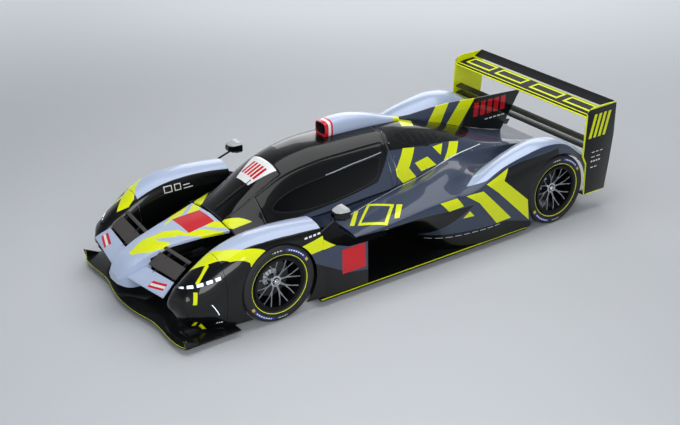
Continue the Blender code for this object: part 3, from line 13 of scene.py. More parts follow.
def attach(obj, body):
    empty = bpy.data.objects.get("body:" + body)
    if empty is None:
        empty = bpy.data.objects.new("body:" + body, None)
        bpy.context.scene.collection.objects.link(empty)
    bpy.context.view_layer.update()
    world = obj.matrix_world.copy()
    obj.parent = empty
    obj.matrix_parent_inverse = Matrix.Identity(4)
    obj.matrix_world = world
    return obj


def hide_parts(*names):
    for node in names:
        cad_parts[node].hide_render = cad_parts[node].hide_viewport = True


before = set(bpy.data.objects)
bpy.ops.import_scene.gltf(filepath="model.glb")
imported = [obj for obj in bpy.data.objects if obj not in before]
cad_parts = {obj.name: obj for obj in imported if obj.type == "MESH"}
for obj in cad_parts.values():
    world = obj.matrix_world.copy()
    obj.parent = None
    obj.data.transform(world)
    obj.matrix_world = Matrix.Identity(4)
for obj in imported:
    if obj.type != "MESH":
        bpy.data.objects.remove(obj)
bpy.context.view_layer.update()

# Camera: it looks at the car from its front left and from above.
# Place, angles and focal length were matched to points measured on the car.

CAMERA_PLACE = (8.563, -5.870, 5.308)
CAMERA_YAW = -56.124
CAMERA_PITCH = -26.034
CAMERA_ROLL = -1.124
FOCAL_PIXELS = 1199.5
PICTURE_WIDTH = 680
SENSOR_WIDTH = 36.0

yaw, pitch, roll = (math.radians(angle) for angle in (CAMERA_YAW, CAMERA_PITCH, CAMERA_ROLL))
ahead = Vector((math.cos(pitch) * math.sin(yaw), math.cos(pitch) * math.cos(yaw), math.sin(pitch)))
level = ahead.cross(Vector((0, 0, 1))).normalized()
above = level.cross(ahead)
view_right = math.cos(roll) * level + math.sin(roll) * above
view_up = -math.sin(roll) * level + math.cos(roll) * above
camera = bpy.data.objects.new("camera", bpy.data.cameras.new("camera"))
turned = Matrix((view_right, view_up, -ahead)).transposed().to_4x4()
camera.matrix_world = Matrix.Translation(CAMERA_PLACE) @ turned
camera.data.sensor_width = SENSOR_WIDTH
camera.data.lens = FOCAL_PIXELS / PICTURE_WIDTH * SENSOR_WIDTH
bpy.context.scene.collection.objects.link(camera)
bpy.context.scene.camera = camera
bpy.context.scene.view_settings.view_transform = "Standard"


# Studio: a pale seamless floor and a pale room, lit by three large soft boxes.
# The floor is matt paper, so that it keeps the car's shadow and shows no mirror image.

FLOOR_SIZE = 60.0
ROOM_GREY = "#D3D6DA"
FLOOR_GREY = "#CBCED2"
FAR_GREY = "#B9BDC3"
FADE_START, FADE_END = 3.5, 13.0
CEILING_GREY = "#6E747C"
ROOM_LIGHT = 0.75
# Columns: name, place, point aimed at, width, height, power
SOFT_BOXES = (
    ("top_box", (0.0, 0.2, 5.6), (0.0, 0.0, 0.0), 5.0, 8.6, 290.0),
    ("side_box", (6.5, -3.5, 3.4), (0.0, -0.2, 0.5), 5.0, 2.2, 210.0),
    ("back_box", (-6.5, 5.4, 4.0), (0.0, 0.6, 0.5), 8.0, 4.4, 190.0),
)


def hex_colour(text):
    """An sRGB hex colour as linear red, green, blue and alpha."""
    parts = [int(text[mark:mark + 2], 16) / 255 for mark in (1, 3, 5)]
    return (*[part / 12.92 if part <= 0.04045 else ((part + 0.055) / 1.055) ** 2.4 for part in parts], 1.0)


def add_node(tree, kind, inputs=(), out=0, **settings):
    """Adds a node with its settings and gives back one of its outputs, or all where out is None.

    Inputs come in order or by name; each is a value, or a socket that is linked to it.
    """
    node = tree.nodes.new("ShaderNode" + kind)
    for key, value in settings.items():
        setattr(node, key, value)
    for key, value in inputs.items() if isinstance(inputs, dict) else enumerate(inputs):
        if isinstance(value, bpy.types.NodeSocket):
            tree.links.new(value, node.inputs[key])
        else:
            node.inputs[key].default_value = value
    return node.outputs if out is None else node.outputs[out]


def new_material(name, **sockets):
    """A material with one Principled shader, whose constant values stand on its own sockets."""
    made = bpy.data.materials.new(name)
    made.use_nodes = True
    shader = made.node_tree.nodes["Principled BSDF"]
    for key, value in sockets.items():
        shader.inputs[key.replace("_", " ")].default_value = value
    return made, made.node_tree, shader


def add_piece(name, bm, material, smooth=30.0):
    """Turns a finished bmesh into an object at the origin."""
    mesh = bpy.data.meshes.new(name)
    bm.to_mesh(mesh)
    bm.free()
    mesh.materials.append(material)
    mesh.shade_smooth()
    mesh.set_sharp_from_angle(angle=math.radians(smooth))
    piece = bpy.data.objects.new(name, mesh)
    bpy.context.scene.collection.objects.link(piece)
    return piece


paper, paper_tree, paper_shader = new_material(
    "matt_paper_floor", Base_Color=hex_colour(FLOOR_GREY), Roughness=0.9, Emission_Strength=1.0)
rays = add_node(paper_tree, "LightPath", out=None)
seen = add_node(paper_tree, "Math", (rays["Is Camera Ray"], rays["Is Glossy Ray"]), operation="MAXIMUM")
seen = add_node(paper_tree, "Math", (seen, rays["Is Transmission Ray"]), operation="MAXIMUM")
away = add_node(paper_tree, "VectorMath", (add_node(paper_tree, "TexCoord", out="Object"),), out="Value",
                operation="LENGTH")
fade = add_node(paper_tree, "MapRange", {"Value": away, "From Min": FADE_START, "From Max": FADE_END},
                interpolation_type="SMOOTHSTEP")
fade = add_node(paper_tree, "Math", (fade, seen), operation="MULTIPLY")
glow = add_node(paper_tree, "Mix", {"Factor": fade, 6: hex_colour("#000000"), 7: hex_colour(FAR_GREY)}, out=2,
                data_type="RGBA")
paper_tree.links.new(glow, paper_shader.inputs["Emission Color"])
floor_bm = bmesh.new()
bmesh.ops.create_grid(floor_bm, x_segments=1, y_segments=1, size=FLOOR_SIZE / 2)
studio_floor = add_piece("studio_floor", floor_bm, paper)

for name, place, target, width, height, power in SOFT_BOXES:
    lamp = bpy.data.lights.new(name, "AREA")
    lamp.shape = "RECTANGLE"
    lamp.size, lamp.size_y, lamp.energy = width, height, power
    box = bpy.data.objects.new(name, lamp)
    box.location = place
    box.rotation_euler = (Vector(target) - Vector(place)).to_track_quat("-Z", "Y").to_euler()
    bpy.context.scene.collection.objects.link(box)

room = bpy.data.worlds.new("pale_room")
room.use_nodes = True
bpy.context.scene.world = room
tree = room.node_tree
rays = add_node(tree, "LightPath", out=None)
seen = add_node(tree, "Math", (rays["Is Camera Ray"], rays["Is Glossy Ray"]), operation="MAXIMUM")
seen = add_node(tree, "Math", (seen, rays["Is Transmission Ray"]), operation="MAXIMUM")
strength = add_node(tree, "MapRange", {"Value": seen, "To Min": ROOM_LIGHT, "To Max": 1.0})
tree.links.new(strength, tree.nodes["Background"].inputs["Strength"])
upwards = add_node(tree, "SeparateXYZ", (add_node(tree, "TexCoord", out="Generated"),), out="Z")
overhead = add_node(tree, "MapRange", {"Value": upwards, "From Min": 0.10, "From Max": 0.75})
shades = add_node(tree, "Mix", {"Factor": overhead, 6: hex_colour(ROOM_GREY), 7: hex_colour(CEILING_GREY)},
                  out=2, data_type="RGBA")
tree.links.new(shades, tree.nodes["Background"].inputs["Color"])


# Body paint: solid and metallic lacquer under a deep clear coat, sprayed on carbon panels.
# It gives clean mirror-like highlights with a faint orange-peel waviness; the livery's
# colours are masked areas, drawn in metres in side view or in plan, alike on both sides.

PALE_BLUE = "#B3C1DC"
SLATE = "#3A4458"
ACID_YELLOW = "#E3EE06"
SIGNAL_RED = "#CC1420"
STRIPE_WHITE = "#E9EBEC"
JET_BLACK = "#060708"
CARBON_BLACK = "#101113"
COAT_ROUGHNESS = 0.04
PEEL_MM = 9.0
FLAKE_MM = 3.0


def drawing_plane(tree, plane):
    """The surface's two coordinates in a view, with 1 as the third.

    'side' is y and z, 'plan' and 'front' the distance off the middle with y or z, and 'whole' x and y.
    """
    split = add_node(tree, "SeparateXYZ", (add_node(tree, "TexCoord", out="Object"),), out=None)
    off_middle = add_node(tree, "Math", (split["X"],), operation="ABSOLUTE")
    pairs = {"side": (split["Y"], split["Z"]), "plan": (off_middle, split["Y"]),
             "front": (off_middle, split["Z"]), "whole": (split["X"], split["Y"])}
    return add_node(tree, "CombineXYZ", {"X": pairs[plane][0], "Y": pairs[plane][1], "Z": 1.0})


def convex_parts(corners):
    """An outline as it is where it is convex, and else as triangles."""
    points = [Vector(corner) for corner in corners]
    turns = []
    for mark, point in enumerate(points):
        before, after = point - points[mark - 1], points[(mark + 1) % len(points)] - point
        turns.append(before.x * after.y - before.y * after.x)
    if all(turn >= 0 for turn in turns) or all(turn <= 0 for turn in turns):
        return [list(corners)]
    return [[tuple(points[index]) for index in triangle]
            for triangle in tessellate_polygon([[point.to_3d() for point in points]])]


def inside(tree, drawn, corners):
    """How far a point lies inside a convex outline, in metres: above 0 within it."""
    middle = sum((Vector(corner) for corner in corners), Vector((0, 0))) / len(corners)
    nearest = None
    for start, end in zip(corners, corners[1:] + corners[:1]):
        edge = Vector(end) - Vector(start)
        normal = Vector((edge.y, -edge.x)).normalized()
        if normal.dot(middle - Vector(start)) < 0:
            normal = -normal
        line = (normal.x, normal.y, -normal.dot(Vector(start)))
        reach = add_node(tree, "VectorMath", (drawn, line), out="Value", operation="DOT_PRODUCT")
        if nearest:
            reach = add_node(tree, "Math", (nearest, reach), operation="MINIMUM")
        nearest = reach
    return nearest


def painted(name, base, areas=(), metallic=0.0, rough=0.32, coat=1.0, flank_from=0.0, inner_to=0.0):
    """A lacquered finish: areas are (colour, plane, corners), each over the ones before it.

    A 'flank' area is drawn in side view too, but counts only farther off the middle than flank_from,
    and an 'inner' one only nearer to it than inner_to.
    """
    made, tree, shader = new_material(
        name, Metallic=metallic, Roughness=rough, Specular_IOR_Level=0.12, Coat_Weight=coat,
        Coat_Roughness=COAT_ROUGHNESS, Coat_IOR=1.35)
    place = add_node(tree, "TexCoord", out="Object")
    across = add_node(tree, "SeparateXYZ", (place,), out="X")
    off_middle = add_node(tree, "Math", (across,), operation="ABSOLUTE")
    limits = {"flank": (flank_from, "GREATER_THAN"), "inner": (inner_to, "LESS_THAN")}
    planes = {}
    colour = add_node(tree, "RGB")
    colour.default_value = hex_colour(base)
    for area_colour, plane, *outlines in areas:
        if plane not in planes:
            planes[plane] = drawing_plane(tree, "side" if plane in limits else plane)
        widest = None
        for corners in [part for outline in outlines for part in convex_parts(outline)]:
            reach = inside(tree, planes[plane], corners)
            if widest:
                reach = add_node(tree, "Math", (widest, reach), operation="MAXIMUM")
            widest = reach
        mask = add_node(tree, "Math", (widest, 0.0), operation="GREATER_THAN")
        if plane in limits:
            limit, sense = limits[plane]
            held = add_node(tree, "Math", (off_middle, limit), operation=sense)
            mask = add_node(tree, "Math", (mask, held), operation="MULTIPLY")
        colour = add_node(tree, "Mix", {"Factor": mask, 6: colour, 7: hex_colour(area_colour)}, out=2,
                          data_type="RGBA")
    flakes = add_node(tree, "TexNoise", {"Vector": place, "Scale": 1000 / FLAKE_MM, "Detail": 1.0})
    shade = add_node(tree, "MapRange", {"Value": flakes, "From Min": 0.3, "From Max": 0.7, "To Min": 0.93,
                                        "To Max": 1.07})
    colour = add_node(tree, "VectorMath", {0: colour, "Scale": shade}, operation="SCALE")
    tree.links.new(colour, shader.inputs["Base Color"])
    peel = add_node(tree, "TexNoise", {"Vector": place, "Scale": 1000 / PEEL_MM, "Detail": 0.0})
    bump = add_node(tree, "Bump", {"Height": peel, "Strength": 0.02, "Distance": 0.001})
    tree.links.new(bump, shader.inputs["Coat Normal"])
    return made


# Cabin skin: roof with scuttle, pillars and door posts, moulded in one piece from carbon
# laminate and lacquered gloss black, with the acid yellow bands of the nose running onto it.

WALL = 0.008
PANEL_GAP = 0.0015
SCREEN_REAR_Y = -0.920
DOOR_FRONT_Y, DOOR_REAR_Y = -1.180, 0.130
DOOR_GAP = 0.005
SCREEN_EDGE, PILLAR_EDGE, DOOR_EDGE = 1.80, 2.00, 2.06
SKIN_FOOT = 5.0
# The cabin's and the engine cover's surface. Columns: y, then (x, z) from the middle plane down to the foot
CABIN = (
    (-1.500, ((0.0, 0.672), (0.120, 0.668), (0.220, 0.658), (0.300, 0.644), (0.370, 0.628), (0.430, 0.612))),
    (-1.300, ((0.0, 0.800), (0.130, 0.790), (0.240, 0.755), (0.325, 0.712), (0.400, 0.662), (0.470, 0.614))),
    (-1.100, ((0.0, 0.930), (0.140, 0.915), (0.255, 0.868), (0.345, 0.795), (0.420, 0.712), (0.505, 0.622))),
    (-0.920, ((0.0, 1.030), (0.150, 1.012), (0.270, 0.952), (0.360, 0.860), (0.445, 0.752), (0.530, 0.630))),
    (-0.600, ((0.0, 1.112), (0.170, 1.092), (0.295, 1.020), (0.385, 0.915), (0.470, 0.790), (0.555, 0.645))),
    (-0.250, ((0.0, 1.122), (0.180, 1.102), (0.305, 1.035), (0.395, 0.930), (0.475, 0.805), (0.550, 0.660))),
    (0.200, ((0.0, 1.112), (0.170, 1.092), (0.295, 1.026), (0.385, 0.925), (0.455, 0.805), (0.502, 0.650))),
    (0.450, ((0.0, 1.088), (0.150, 1.065), (0.270, 1.000), (0.365, 0.905), (0.430, 0.800), (0.486, 0.672))),
    (0.800, ((0.0, 0.995), (0.120, 0.978), (0.225, 0.935), (0.320, 0.870), (0.390, 0.800), (0.456, 0.725))),
    (1.100, ((0.0, 0.897), (0.100, 0.885), (0.195, 0.855), (0.285, 0.820), (0.360, 0.775), (0.440, 0.728))),
    (1.360, ((0.0, 0.800), (0.090, 0.792), (0.180, 0.776), (0.270, 0.757), (0.350, 0.738), (0.432, 0.710))),
    (1.620, ((0.0, 0.712), (0.090, 0.711), (0.180, 0.708), (0.270, 0.703), (0.348, 0.696), (0.422, 0.680))),
    (1.880, ((0.0, 0.640), (0.090, 0.640), (0.180, 0.641), (0.270, 0.641), (0.342, 0.640), (0.412, 0.632))),
    (2.080, ((0.0, 0.598), (0.090, 0.598), (0.180, 0.599), (0.260, 0.599), (0.335, 0.598), (0.405, 0.590))),
)
COVER_FRONT_Y, COVER_REAR_Y = 0.200, 2.080
# A painted highlight: the light line that runs along the roof's edge, drawn as a thin grey strip
ROOF_EDGE_HIGHLIGHT_GREY = "#9AA1AB"
# The yellow band that runs from the nose onto the cabin, in plan
NOSE_BAND_A = ((0.135, -1.548), (0.285, -1.378), (0.382, -1.300), (0.350, -1.470), (0.155, -1.655))


def smooth_line(knots, values, place):
    """Reads a smooth curve through values that stand at uneven knots."""
    index = max(mark for mark in range(len(knots) - 1) if mark == 0 or knots[mark] <= place)
    pairs = list(zip(knots, values))
    rises = [(far[1] - near[1]) / (far[0] - near[0]) for near, far in zip(pairs, pairs[1:])]

    def slope(mark):
        if mark == 0 or mark == len(knots) - 1:
            return rises[0] if mark == 0 else rises[-1]
        before, after = knots[mark] - knots[mark - 1], knots[mark + 1] - knots[mark]
        return (rises[mark - 1] * after + rises[mark] * before) / (before + after)

    span = knots[index + 1] - knots[index]
    t = (place - knots[index]) / span
    return (values[index] * (2 * t ** 3 - 3 * t ** 2 + 1) + values[index + 1] * (3 * t ** 2 - 2 * t ** 3)
            + slope(index) * (span * (t ** 3 - 2 * t ** 2 + t))
            + slope(index + 1) * (span * (t ** 3 - t ** 2)))


sections = {}


def section(table, y, mirrored):
    """The table's cross-section at y: its points, and their knots along the curve."""
    key = (id(table), round(y, 6))
    if key not in sections:
        knots = [line[0] for line in table]
        row = [smooth_line(knots, [Vector(line[1][column]) for line in table], y)
               for column in range(len(table[0][1]))]
        if mirrored:
            row = [Vector((-point.x, point.y)) for point in reversed(row[1:])] + row
        marks = [0.0]
        for near, far in zip(row, row[1:]):
            marks.append(marks[-1] + (far - near).length ** 0.5)
        sections[key] = row, marks
    return sections[key]


def surface(table, y, column, mirrored=False, straight=False):
    """A point of a body surface at y and at a (fractional) column of its table."""
    row, marks = section(table, y, mirrored)
    position = column + (len(row) // 2 if mirrored else 0)
    index = min(int(position), len(row) - 2)
    if straight:
        x, z = row[index].lerp(row[index + 1], position - index)
    else:
        x, z = smooth_line(marks, row, marks[index] + (marks[index + 1] - marks[index]) * (position - index))
    return Vector((x, y, z))


def steps(stops, pitch):
    """Places from the first stop to the last, about a pitch apart, with every stop among them."""
    places = [stops[0]]
    for low, high in zip(stops, stops[1:]):
        count = max(1, round(abs(high - low) / pitch))
        places += [low + (high - low) * mark / count for mark in range(1, count + 1)]
    return places


def skin(table, stations, columns, side=1, is_open=None, mirrored=False, straight=False):
    """A sheet of a body surface: a grid whose points are set on it, its normals turned outwards."""
    bm = bmesh.new()
    rows, lines = len(stations) - 1, len(columns) - 1
    bmesh.ops.create_grid(bm, x_segments=lines, y_segments=rows, size=1)

    def marks(point):
        return (point.x + 1) / 2 * lines, (point.y + 1) / 2 * rows

    if is_open:
        gone = []
        for face in bm.faces:
            line, row = (int(mark) for mark in marks(face.calc_center_median()))
            if is_open((stations[row] + stations[row + 1]) / 2, (columns[line] + columns[line + 1]) / 2):
                gone.append(face)
        bmesh.ops.delete(bm, geom=gone, context="FACES")
    for vert in bm.verts:
        line, row = (round(mark) for mark in marks(vert.co))
        vert.co = surface(table, stations[row], columns[line], mirrored, straight)
        vert.co.x *= side
    bm.normal_update()
    highest = max(bm.faces, key=lambda face: face.calc_center_median().z * abs(face.normal.z))
    if highest.normal.z < 0:
        bmesh.ops.reverse_faces(bm, faces=bm.faces)
    return bm


def give_wall(piece, thickness):
    """Gives an open sheet its wall, inwards from its outer face."""
    wall = piece.modifiers.new("wall", "SOLIDIFY")
    wall.thickness = thickness
    wall.offset = -1
    wall.use_even_offset = True
    return piece


def dress(piece, slot, *nodes, body="chassis"):
    """Hangs a piece on the body it rides on and hides the CAD nodes it stands for; the slot is not used."""
    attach(piece, body)
    if nodes:
        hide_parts(*nodes)
    return piece


def line_strips(points, width):
    """A thin line along points of a drawing, as one convex strip for each stretch."""
    strips = []
    for start, end in zip(points, points[1:]):
        start, end = Vector(start), Vector(end)
        beside = (end - start).normalized().orthogonal() * width / 2
        over = (end - start).normalized() * width / 4
        strips.append(tuple(tuple(corner) for corner in (start + beside - over, end + beside + over,
                                                         end - beside + over, start - beside - over)))
    return strips


canopy_paint = painted("gloss_black_lacquer_on_carbon", JET_BLACK, (
    (SLATE, "side", ((0.181, 0.958), (-0.029, 0.745), (-0.029, 0.40), (0.30, 0.40), (0.30, 0.950))),
    (SLATE, "side", ((-0.860, 0.662), (-0.029, 0.745), (-0.029, 0.40), (-0.860, 0.40))),
    (ACID_YELLOW, "plan", NOSE_BAND_A),
    # Painted highlight: a thin grey line along the roof's edge
    (ROOF_EDGE_HIGHLIGHT_GREY, "side", *line_strips(((-0.530, 0.914), (-0.250, 0.943), (0.020, 0.958)), 0.007)),
))


def canopy_opening(y, column):
    """Whether a point of the cabin lies in the windscreen's or a door's opening."""
    column = abs(column)
    if column < SCREEN_EDGE:
        return y < SCREEN_REAR_Y
    return column > PILLAR_EDGE and DOOR_FRONT_Y - DOOR_GAP < y < DOOR_REAR_Y + DOOR_GAP


def both_ways(columns):
    """One side's columns, for both sides of the middle."""
    return [-column for column in reversed(columns[1:])] + list(columns)


canopy_stations = steps((-1.4985, DOOR_FRONT_Y - DOOR_GAP, SCREEN_REAR_Y, DOOR_REAR_Y + DOOR_GAP,
                         COVER_FRONT_Y - PANEL_GAP), 0.022)
canopy_columns = both_ways(steps((0.0, SCREEN_EDGE, PILLAR_EDGE, SKIN_FOOT), 0.10))
canopy_sheet = skin(CABIN, canopy_stations, canopy_columns, is_open=canopy_opening, mirrored=True)
canopy = add_piece("canopy_skin", canopy_sheet, canopy_paint)
give_wall(canopy, WALL)
dress(canopy, "gloss_black_paint", "canopy")


# Windscreen: one sheet of smoke-tinted polycarbonate, hot-formed and bonded into the scuttle and roof.
# A white sun strip with plain red bars is stuck along its upper edge.

GLASS_T = 0.005
SCREEN_INSET = 0.012
SUN_STRIP = ((-0.105, -1.165), (0.105, -1.165), (0.205, -0.90), (-0.205, -0.90))


def tinted_glass(name, tint, areas=()):
    """Polycarbonate: clear and hard-coated, with printed areas where the mask is above 0."""
    made, tree, shader = new_material(
        name, Base_Color=hex_colour(tint), Roughness=0.03, IOR=1.35, Transmission_Weight=1.0,
        Coat_Weight=0.3, Coat_Roughness=0.02, Coat_IOR=1.4)
    if not areas:
        return made
    colour = add_node(tree, "RGB")
    colour.default_value = hex_colour(tint)
    clear = None
    for area_colour, plane, *outlines in areas:
        drawn = drawing_plane(tree, plane)
        for corners in outlines:
            reach = inside(tree, drawn, list(corners))
            mask = add_node(tree, "Math", (reach, 0.0), operation="GREATER_THAN")
            colour = add_node(tree, "Mix", {"Factor": mask, 6: colour, 7: hex_colour(area_colour)}, out=2,
                              data_type="RGBA")
            clear = mask if clear is None else add_node(tree, "Math", (clear, mask), operation="MAXIMUM")
    tree.links.new(colour, shader.inputs["Base Color"])
    through = add_node(tree, "Math", (1.0, clear), operation="SUBTRACT")
    tree.links.new(through, shader.inputs["Transmission Weight"])
    return made


def slanted_bars(start, pitch, width, low, high, lean, count):
    """A row of plain slanted bars, as outlines in two coordinates."""
    bars = []
    for mark in range(count):
        left = start + pitch * mark
        bars.append(((left, low), (left + width, low), (left + width + lean, high), (left + lean, high)))
    return bars


# Smoke polycarbonate with vinyl on it: dark but clear, the strip opaque
screen_glass = tinted_glass("smoke_polycarbonate_with_sun_strip", "#17191B", (
    (STRIPE_WHITE, "whole", SUN_STRIP),
    (SIGNAL_RED, "whole", *slanted_bars(-0.118, 0.048, 0.030, -1.105, -0.975, 0.020, 5)),
))
screen_stations = steps((-1.498, SCREEN_REAR_Y - PANEL_GAP), 0.02)
screen_columns = both_ways(steps((0.0, SCREEN_EDGE - SCREEN_INSET), 0.09))
screen = add_piece("windscreen_sheet", skin(CABIN, screen_stations, screen_columns, mirrored=True),
                   screen_glass)
give_wall(screen, GLASS_T)
dress(screen, "tinted_polycarbonate", "windscreen")


# Wiper: a single pressed steel arm with a rubber blade, which rests along the screen's middle.
# It is fixed to a spindle in the scuttle and stays with the chassis.

# Columns: y, column of the cabin's table
WIPER_PATH = ((-1.455, 0.15), (-1.400, 0.22), (-1.300, 0.34), (-1.200, 0.46), (-1.120, 0.55))
WIPER_ARM_R, WIPER_BLADE_R = 0.0045, 0.0035
SPINDLE_R, SPINDLE_H = 0.012, 0.016


def lifted(table, y, column, lift, mirrored=False):
    """A point at a small distance off a body surface, and the surface's outward normal there."""
    spot = surface(table, y, column, mirrored)
    aside = surface(table, y, column + 0.05, mirrored) - spot
    along = surface(table, y + 0.01, column, mirrored) - spot
    out = aside.cross(along).normalized()
    out *= math.copysign(1.0, out.dot(Vector((0.5, 0, 1))))
    return spot + out * lift, out


def tube(name, points, radius, material, closed=False, sides=2):
    """A round bead along points, made a mesh."""
    curve = bpy.data.curves.new(name, "CURVE")
    curve.dimensions = "3D"
    curve.bevel_depth = radius
    curve.bevel_resolution = sides
    curve.use_fill_caps = not closed
    line = curve.splines.new("POLY")
    line.points.add(len(points) - 1)
    for spot, point in zip(line.points, points):
        spot.co = (*point, 1.0)
    line.use_cyclic_u = closed
    holder = bpy.data.objects.new(name, curve)
    bpy.context.scene.collection.objects.link(holder)
    graph = bpy.context.evaluated_depsgraph_get()
    bm = bmesh.new()
    bm.from_mesh(bpy.data.meshes.new_from_object(holder.evaluated_get(graph)))
    bpy.data.objects.remove(holder, do_unlink=True)
    bmesh.ops.remove_doubles(bm, verts=bm.verts, dist=0.00001)
    bmesh.ops.recalc_face_normals(bm, faces=bm.faces)
    return add_piece(name, bm, material, 60.0)


def knob(name, spot, out, radius, height, material, segments=24):
    """A short round cap standing on a spot."""
    bm = bmesh.new()
    place = Matrix.Translation(spot) @ Vector(out).to_track_quat("Z", "Y").to_matrix().to_4x4()
    bmesh.ops.create_cone(bm, cap_ends=True, segments=segments, radius1=radius, radius2=radius * 0.85,
                          depth=height, matrix=place)
    return add_piece(name, bm, material, 50.0)


# Rubber and painted steel alike: black with a dull sheen
wiper_rubber, _, _ = new_material("black_wiper_rubber", Base_Color=hex_colour("#0A0A0B"), Roughness=0.5)
arm = [lifted(CABIN, y, column, 0.012, True)[0] for y, column in WIPER_PATH[:4]]
blade = [lifted(CABIN, y, column + 0.04, 0.0035, True)[0] for y, column in WIPER_PATH[1:]]
spindle, spindle_out = lifted(CABIN, *WIPER_PATH[0], 0.006, True)
dress(tube("wiper_arm", arm, WIPER_ARM_R, wiper_rubber), "gloss_black_paint")
dress(tube("wiper_blade", blade, WIPER_BLADE_R, wiper_rubber), "gloss_black_paint")
dress(knob("wiper_spindle", spindle, spindle_out, SPINDLE_R, SPINDLE_H, wiper_rubber),
      "gloss_black_paint")


# Doors: one thick carbon leaf each from roof edge to sill, hinged at its front edge, with a
# hot-formed tinted window bonded into its cut-out over a black seal.

DOOR_T = 0.014
WINDOW_OUTLINE = ((-1.120, 0.722), (-1.040, 0.795), (-0.860, 0.866), (-0.600, 0.905), (-0.250, 0.932),
                  (0.085, 0.952), (0.010, 0.845), (-0.050, 0.765), (-0.500, 0.712), (-0.880, 0.690))
SEAL_R = 0.0028
DOOR_COLUMN_PITCH = 0.07
CUTTER_X = (0.20, 0.72)
# Each side's name and the sign of its x
SIDES = (("left", 1), ("right", -1))


def below(line, floor_z=-1.0):
    """Convex outlines for the area under a line in side view, one for each stretch of it."""
    return [(start, end, (end[0], floor_z), (start[0], floor_z)) for start, end in zip(line, line[1:])]


def cutter_prism(name, outline, reach):
    """A closed prism over an outline in side view, drawn out along x."""
    bm = bmesh.new()
    face = bm.faces.new([bm.verts.new((reach[0], y, z)) for y, z in outline])
    grown = bmesh.ops.extrude_face_region(bm, geom=[face])
    moved = [item for item in grown["geom"] if isinstance(item, bmesh.types.BMVert)]
    bmesh.ops.translate(bm, verts=moved, vec=(reach[1] - reach[0], 0, 0))
    bmesh.ops.recalc_face_normals(bm, faces=bm.faces)
    return add_piece(name, bm, paper)


def settle(piece, smooth=30.0):
    """Puts a piece's modifiers into its mesh."""
    graph = bpy.context.evaluated_depsgraph_get()
    mesh = bpy.data.meshes.new_from_object(piece.evaluated_get(graph))
    piece.modifiers.clear()
    piece.data = mesh
    mesh.shade_smooth()
    mesh.set_sharp_from_angle(angle=math.radians(smooth))
    return piece


def carve(piece, tool, operation="DIFFERENCE"):
    """Cuts a piece with a tool, or keeps what lies in it, and throws the tool away."""
    step = piece.modifiers.new("carve", "BOOLEAN")
    step.object = tool
    step.operation = operation
    step.solver = "EXACT"
    settle(piece)
    bpy.data.objects.remove(tool, do_unlink=True)
    return piece


def side_x(table, y, z, top_column, foot_column, mirrored=False):
    """The surface's x where it passes a height, between two columns that run down to the foot."""
    low, high = top_column, foot_column
    for _ in range(24):
        middle = (low + high) / 2
        if surface(table, y, middle, mirrored).z > z:
            low = middle
        else:
            high = middle
    return surface(table, y, (low + high) / 2, mirrored).x


def rounded(outline, pull=0.22, passes=2):
    """Cuts an outline's corners twice, so that they run in curves."""
    for _ in range(passes):
        cut = []
        for start, end in zip(outline, outline[1:] + outline[:1]):
            start, end = Vector(start), Vector(end)
            cut += [tuple(start.lerp(end, pull)), tuple(start.lerp(end, 1 - pull))]
        outline = cut
    return outline


# Extruded rubber: black and nearly matt
seal_rubber, _, _ = new_material("extruded_black_rubber", Base_Color=hex_colour("#0B0B0C"), Roughness=0.6)
# Smoke polycarbonate: dark but clear, with sharp reflections
window_glass = tinted_glass("smoke_polycarbonate", "#141618")
door_paint = painted("gloss_black_lacquer_on_door", JET_BLACK, (
    (SLATE, "side", *below(((-1.20, 0.628), (-0.860, 0.662), (-0.029, 0.745)), 0.40)),
    (SLATE, "side", ((0.181, 0.958), (-0.029, 0.745), (-0.029, 0.40), (0.20, 0.40), (0.20, 0.958))),
    # Painted highlight: a thin grey line along the roof's edge
    (ROOF_EDGE_HIGHLIGHT_GREY, "side", *line_strips(((-0.530, 0.914), (-0.250, 0.943), (0.100, 0.964)), 0.007)),
))
door_stations = steps((DOOR_FRONT_Y, DOOR_REAR_Y), 0.018)
door_columns = steps((DOOR_EDGE, SKIN_FOOT), DOOR_COLUMN_PITCH)
for name, side in SIDES:
    reach = [side * x for x in CUTTER_X]
    leaf = add_piece("door_leaf_" + name, skin(CABIN, door_stations, door_columns, side, mirrored=True),
                     door_paint)
    give_wall(leaf, DOOR_T)
    carve(leaf, cutter_prism("window_cutter", rounded(list(WINDOW_OUTLINE)), reach))
    dress(leaf, "gloss_black_paint", "door_" + name, body="door_" + name)
    pane = add_piece("side_window_" + name, skin(CABIN, door_stations, door_columns, side, mirrored=True),
                     window_glass)
    give_wall(pane, GLASS_T)
    carve(pane, cutter_prism("window_former", rounded(list(WINDOW_OUTLINE)), reach), "INTERSECT")
    dress(pane, "tinted_polycarbonate", "door_window_" + name, body="door_" + name)
    beads = [Vector((side * side_x(CABIN, y, z, 1.0, SKIN_FOOT, True), y, z))
             for y, z in rounded(list(WINDOW_OUTLINE), passes=3)]
    dress(tube("window_seal_" + name, beads, SEAL_R, seal_rubber, closed=True), "gloss_black_paint",
          body="door_" + name)


# Engine cover: the spine and shoulders behind the cabin, one carbon moulding with pins.
# Slate metallic on the flanks with acid yellow chevrons, gloss black on the shoulders.

CHEVRON_A = (((0.357, 0.937), (0.494, 0.910), (0.358, 0.770), (0.176, 0.773)),
             ((0.176, 0.773), (0.358, 0.770), (0.421, 0.673), (0.259, 0.657)))
SQUARE_B = ((0.441, 0.793), (0.609, 0.807), (0.679, 0.722), (0.492, 0.707))
WEDGE_C = ((0.714, 0.862), (0.853, 0.854), (0.768, 0.784))
BAND_D = ((0.948, 0.842), (1.064, 0.816), (0.930, 0.743), (0.777, 0.736))
SPINE_PATCH = ((0.000, 0.600), (0.029, 0.699), (0.138, 0.646), (0.146, 0.501), (0.000, 0.560))
# The black of the shoulders ends in this line, columns: y, z
SHOULDER_LINE = ((0.181, 0.958), (0.774, 0.873), (1.045, 0.829), (1.70, 0.745), (2.10, 0.690))
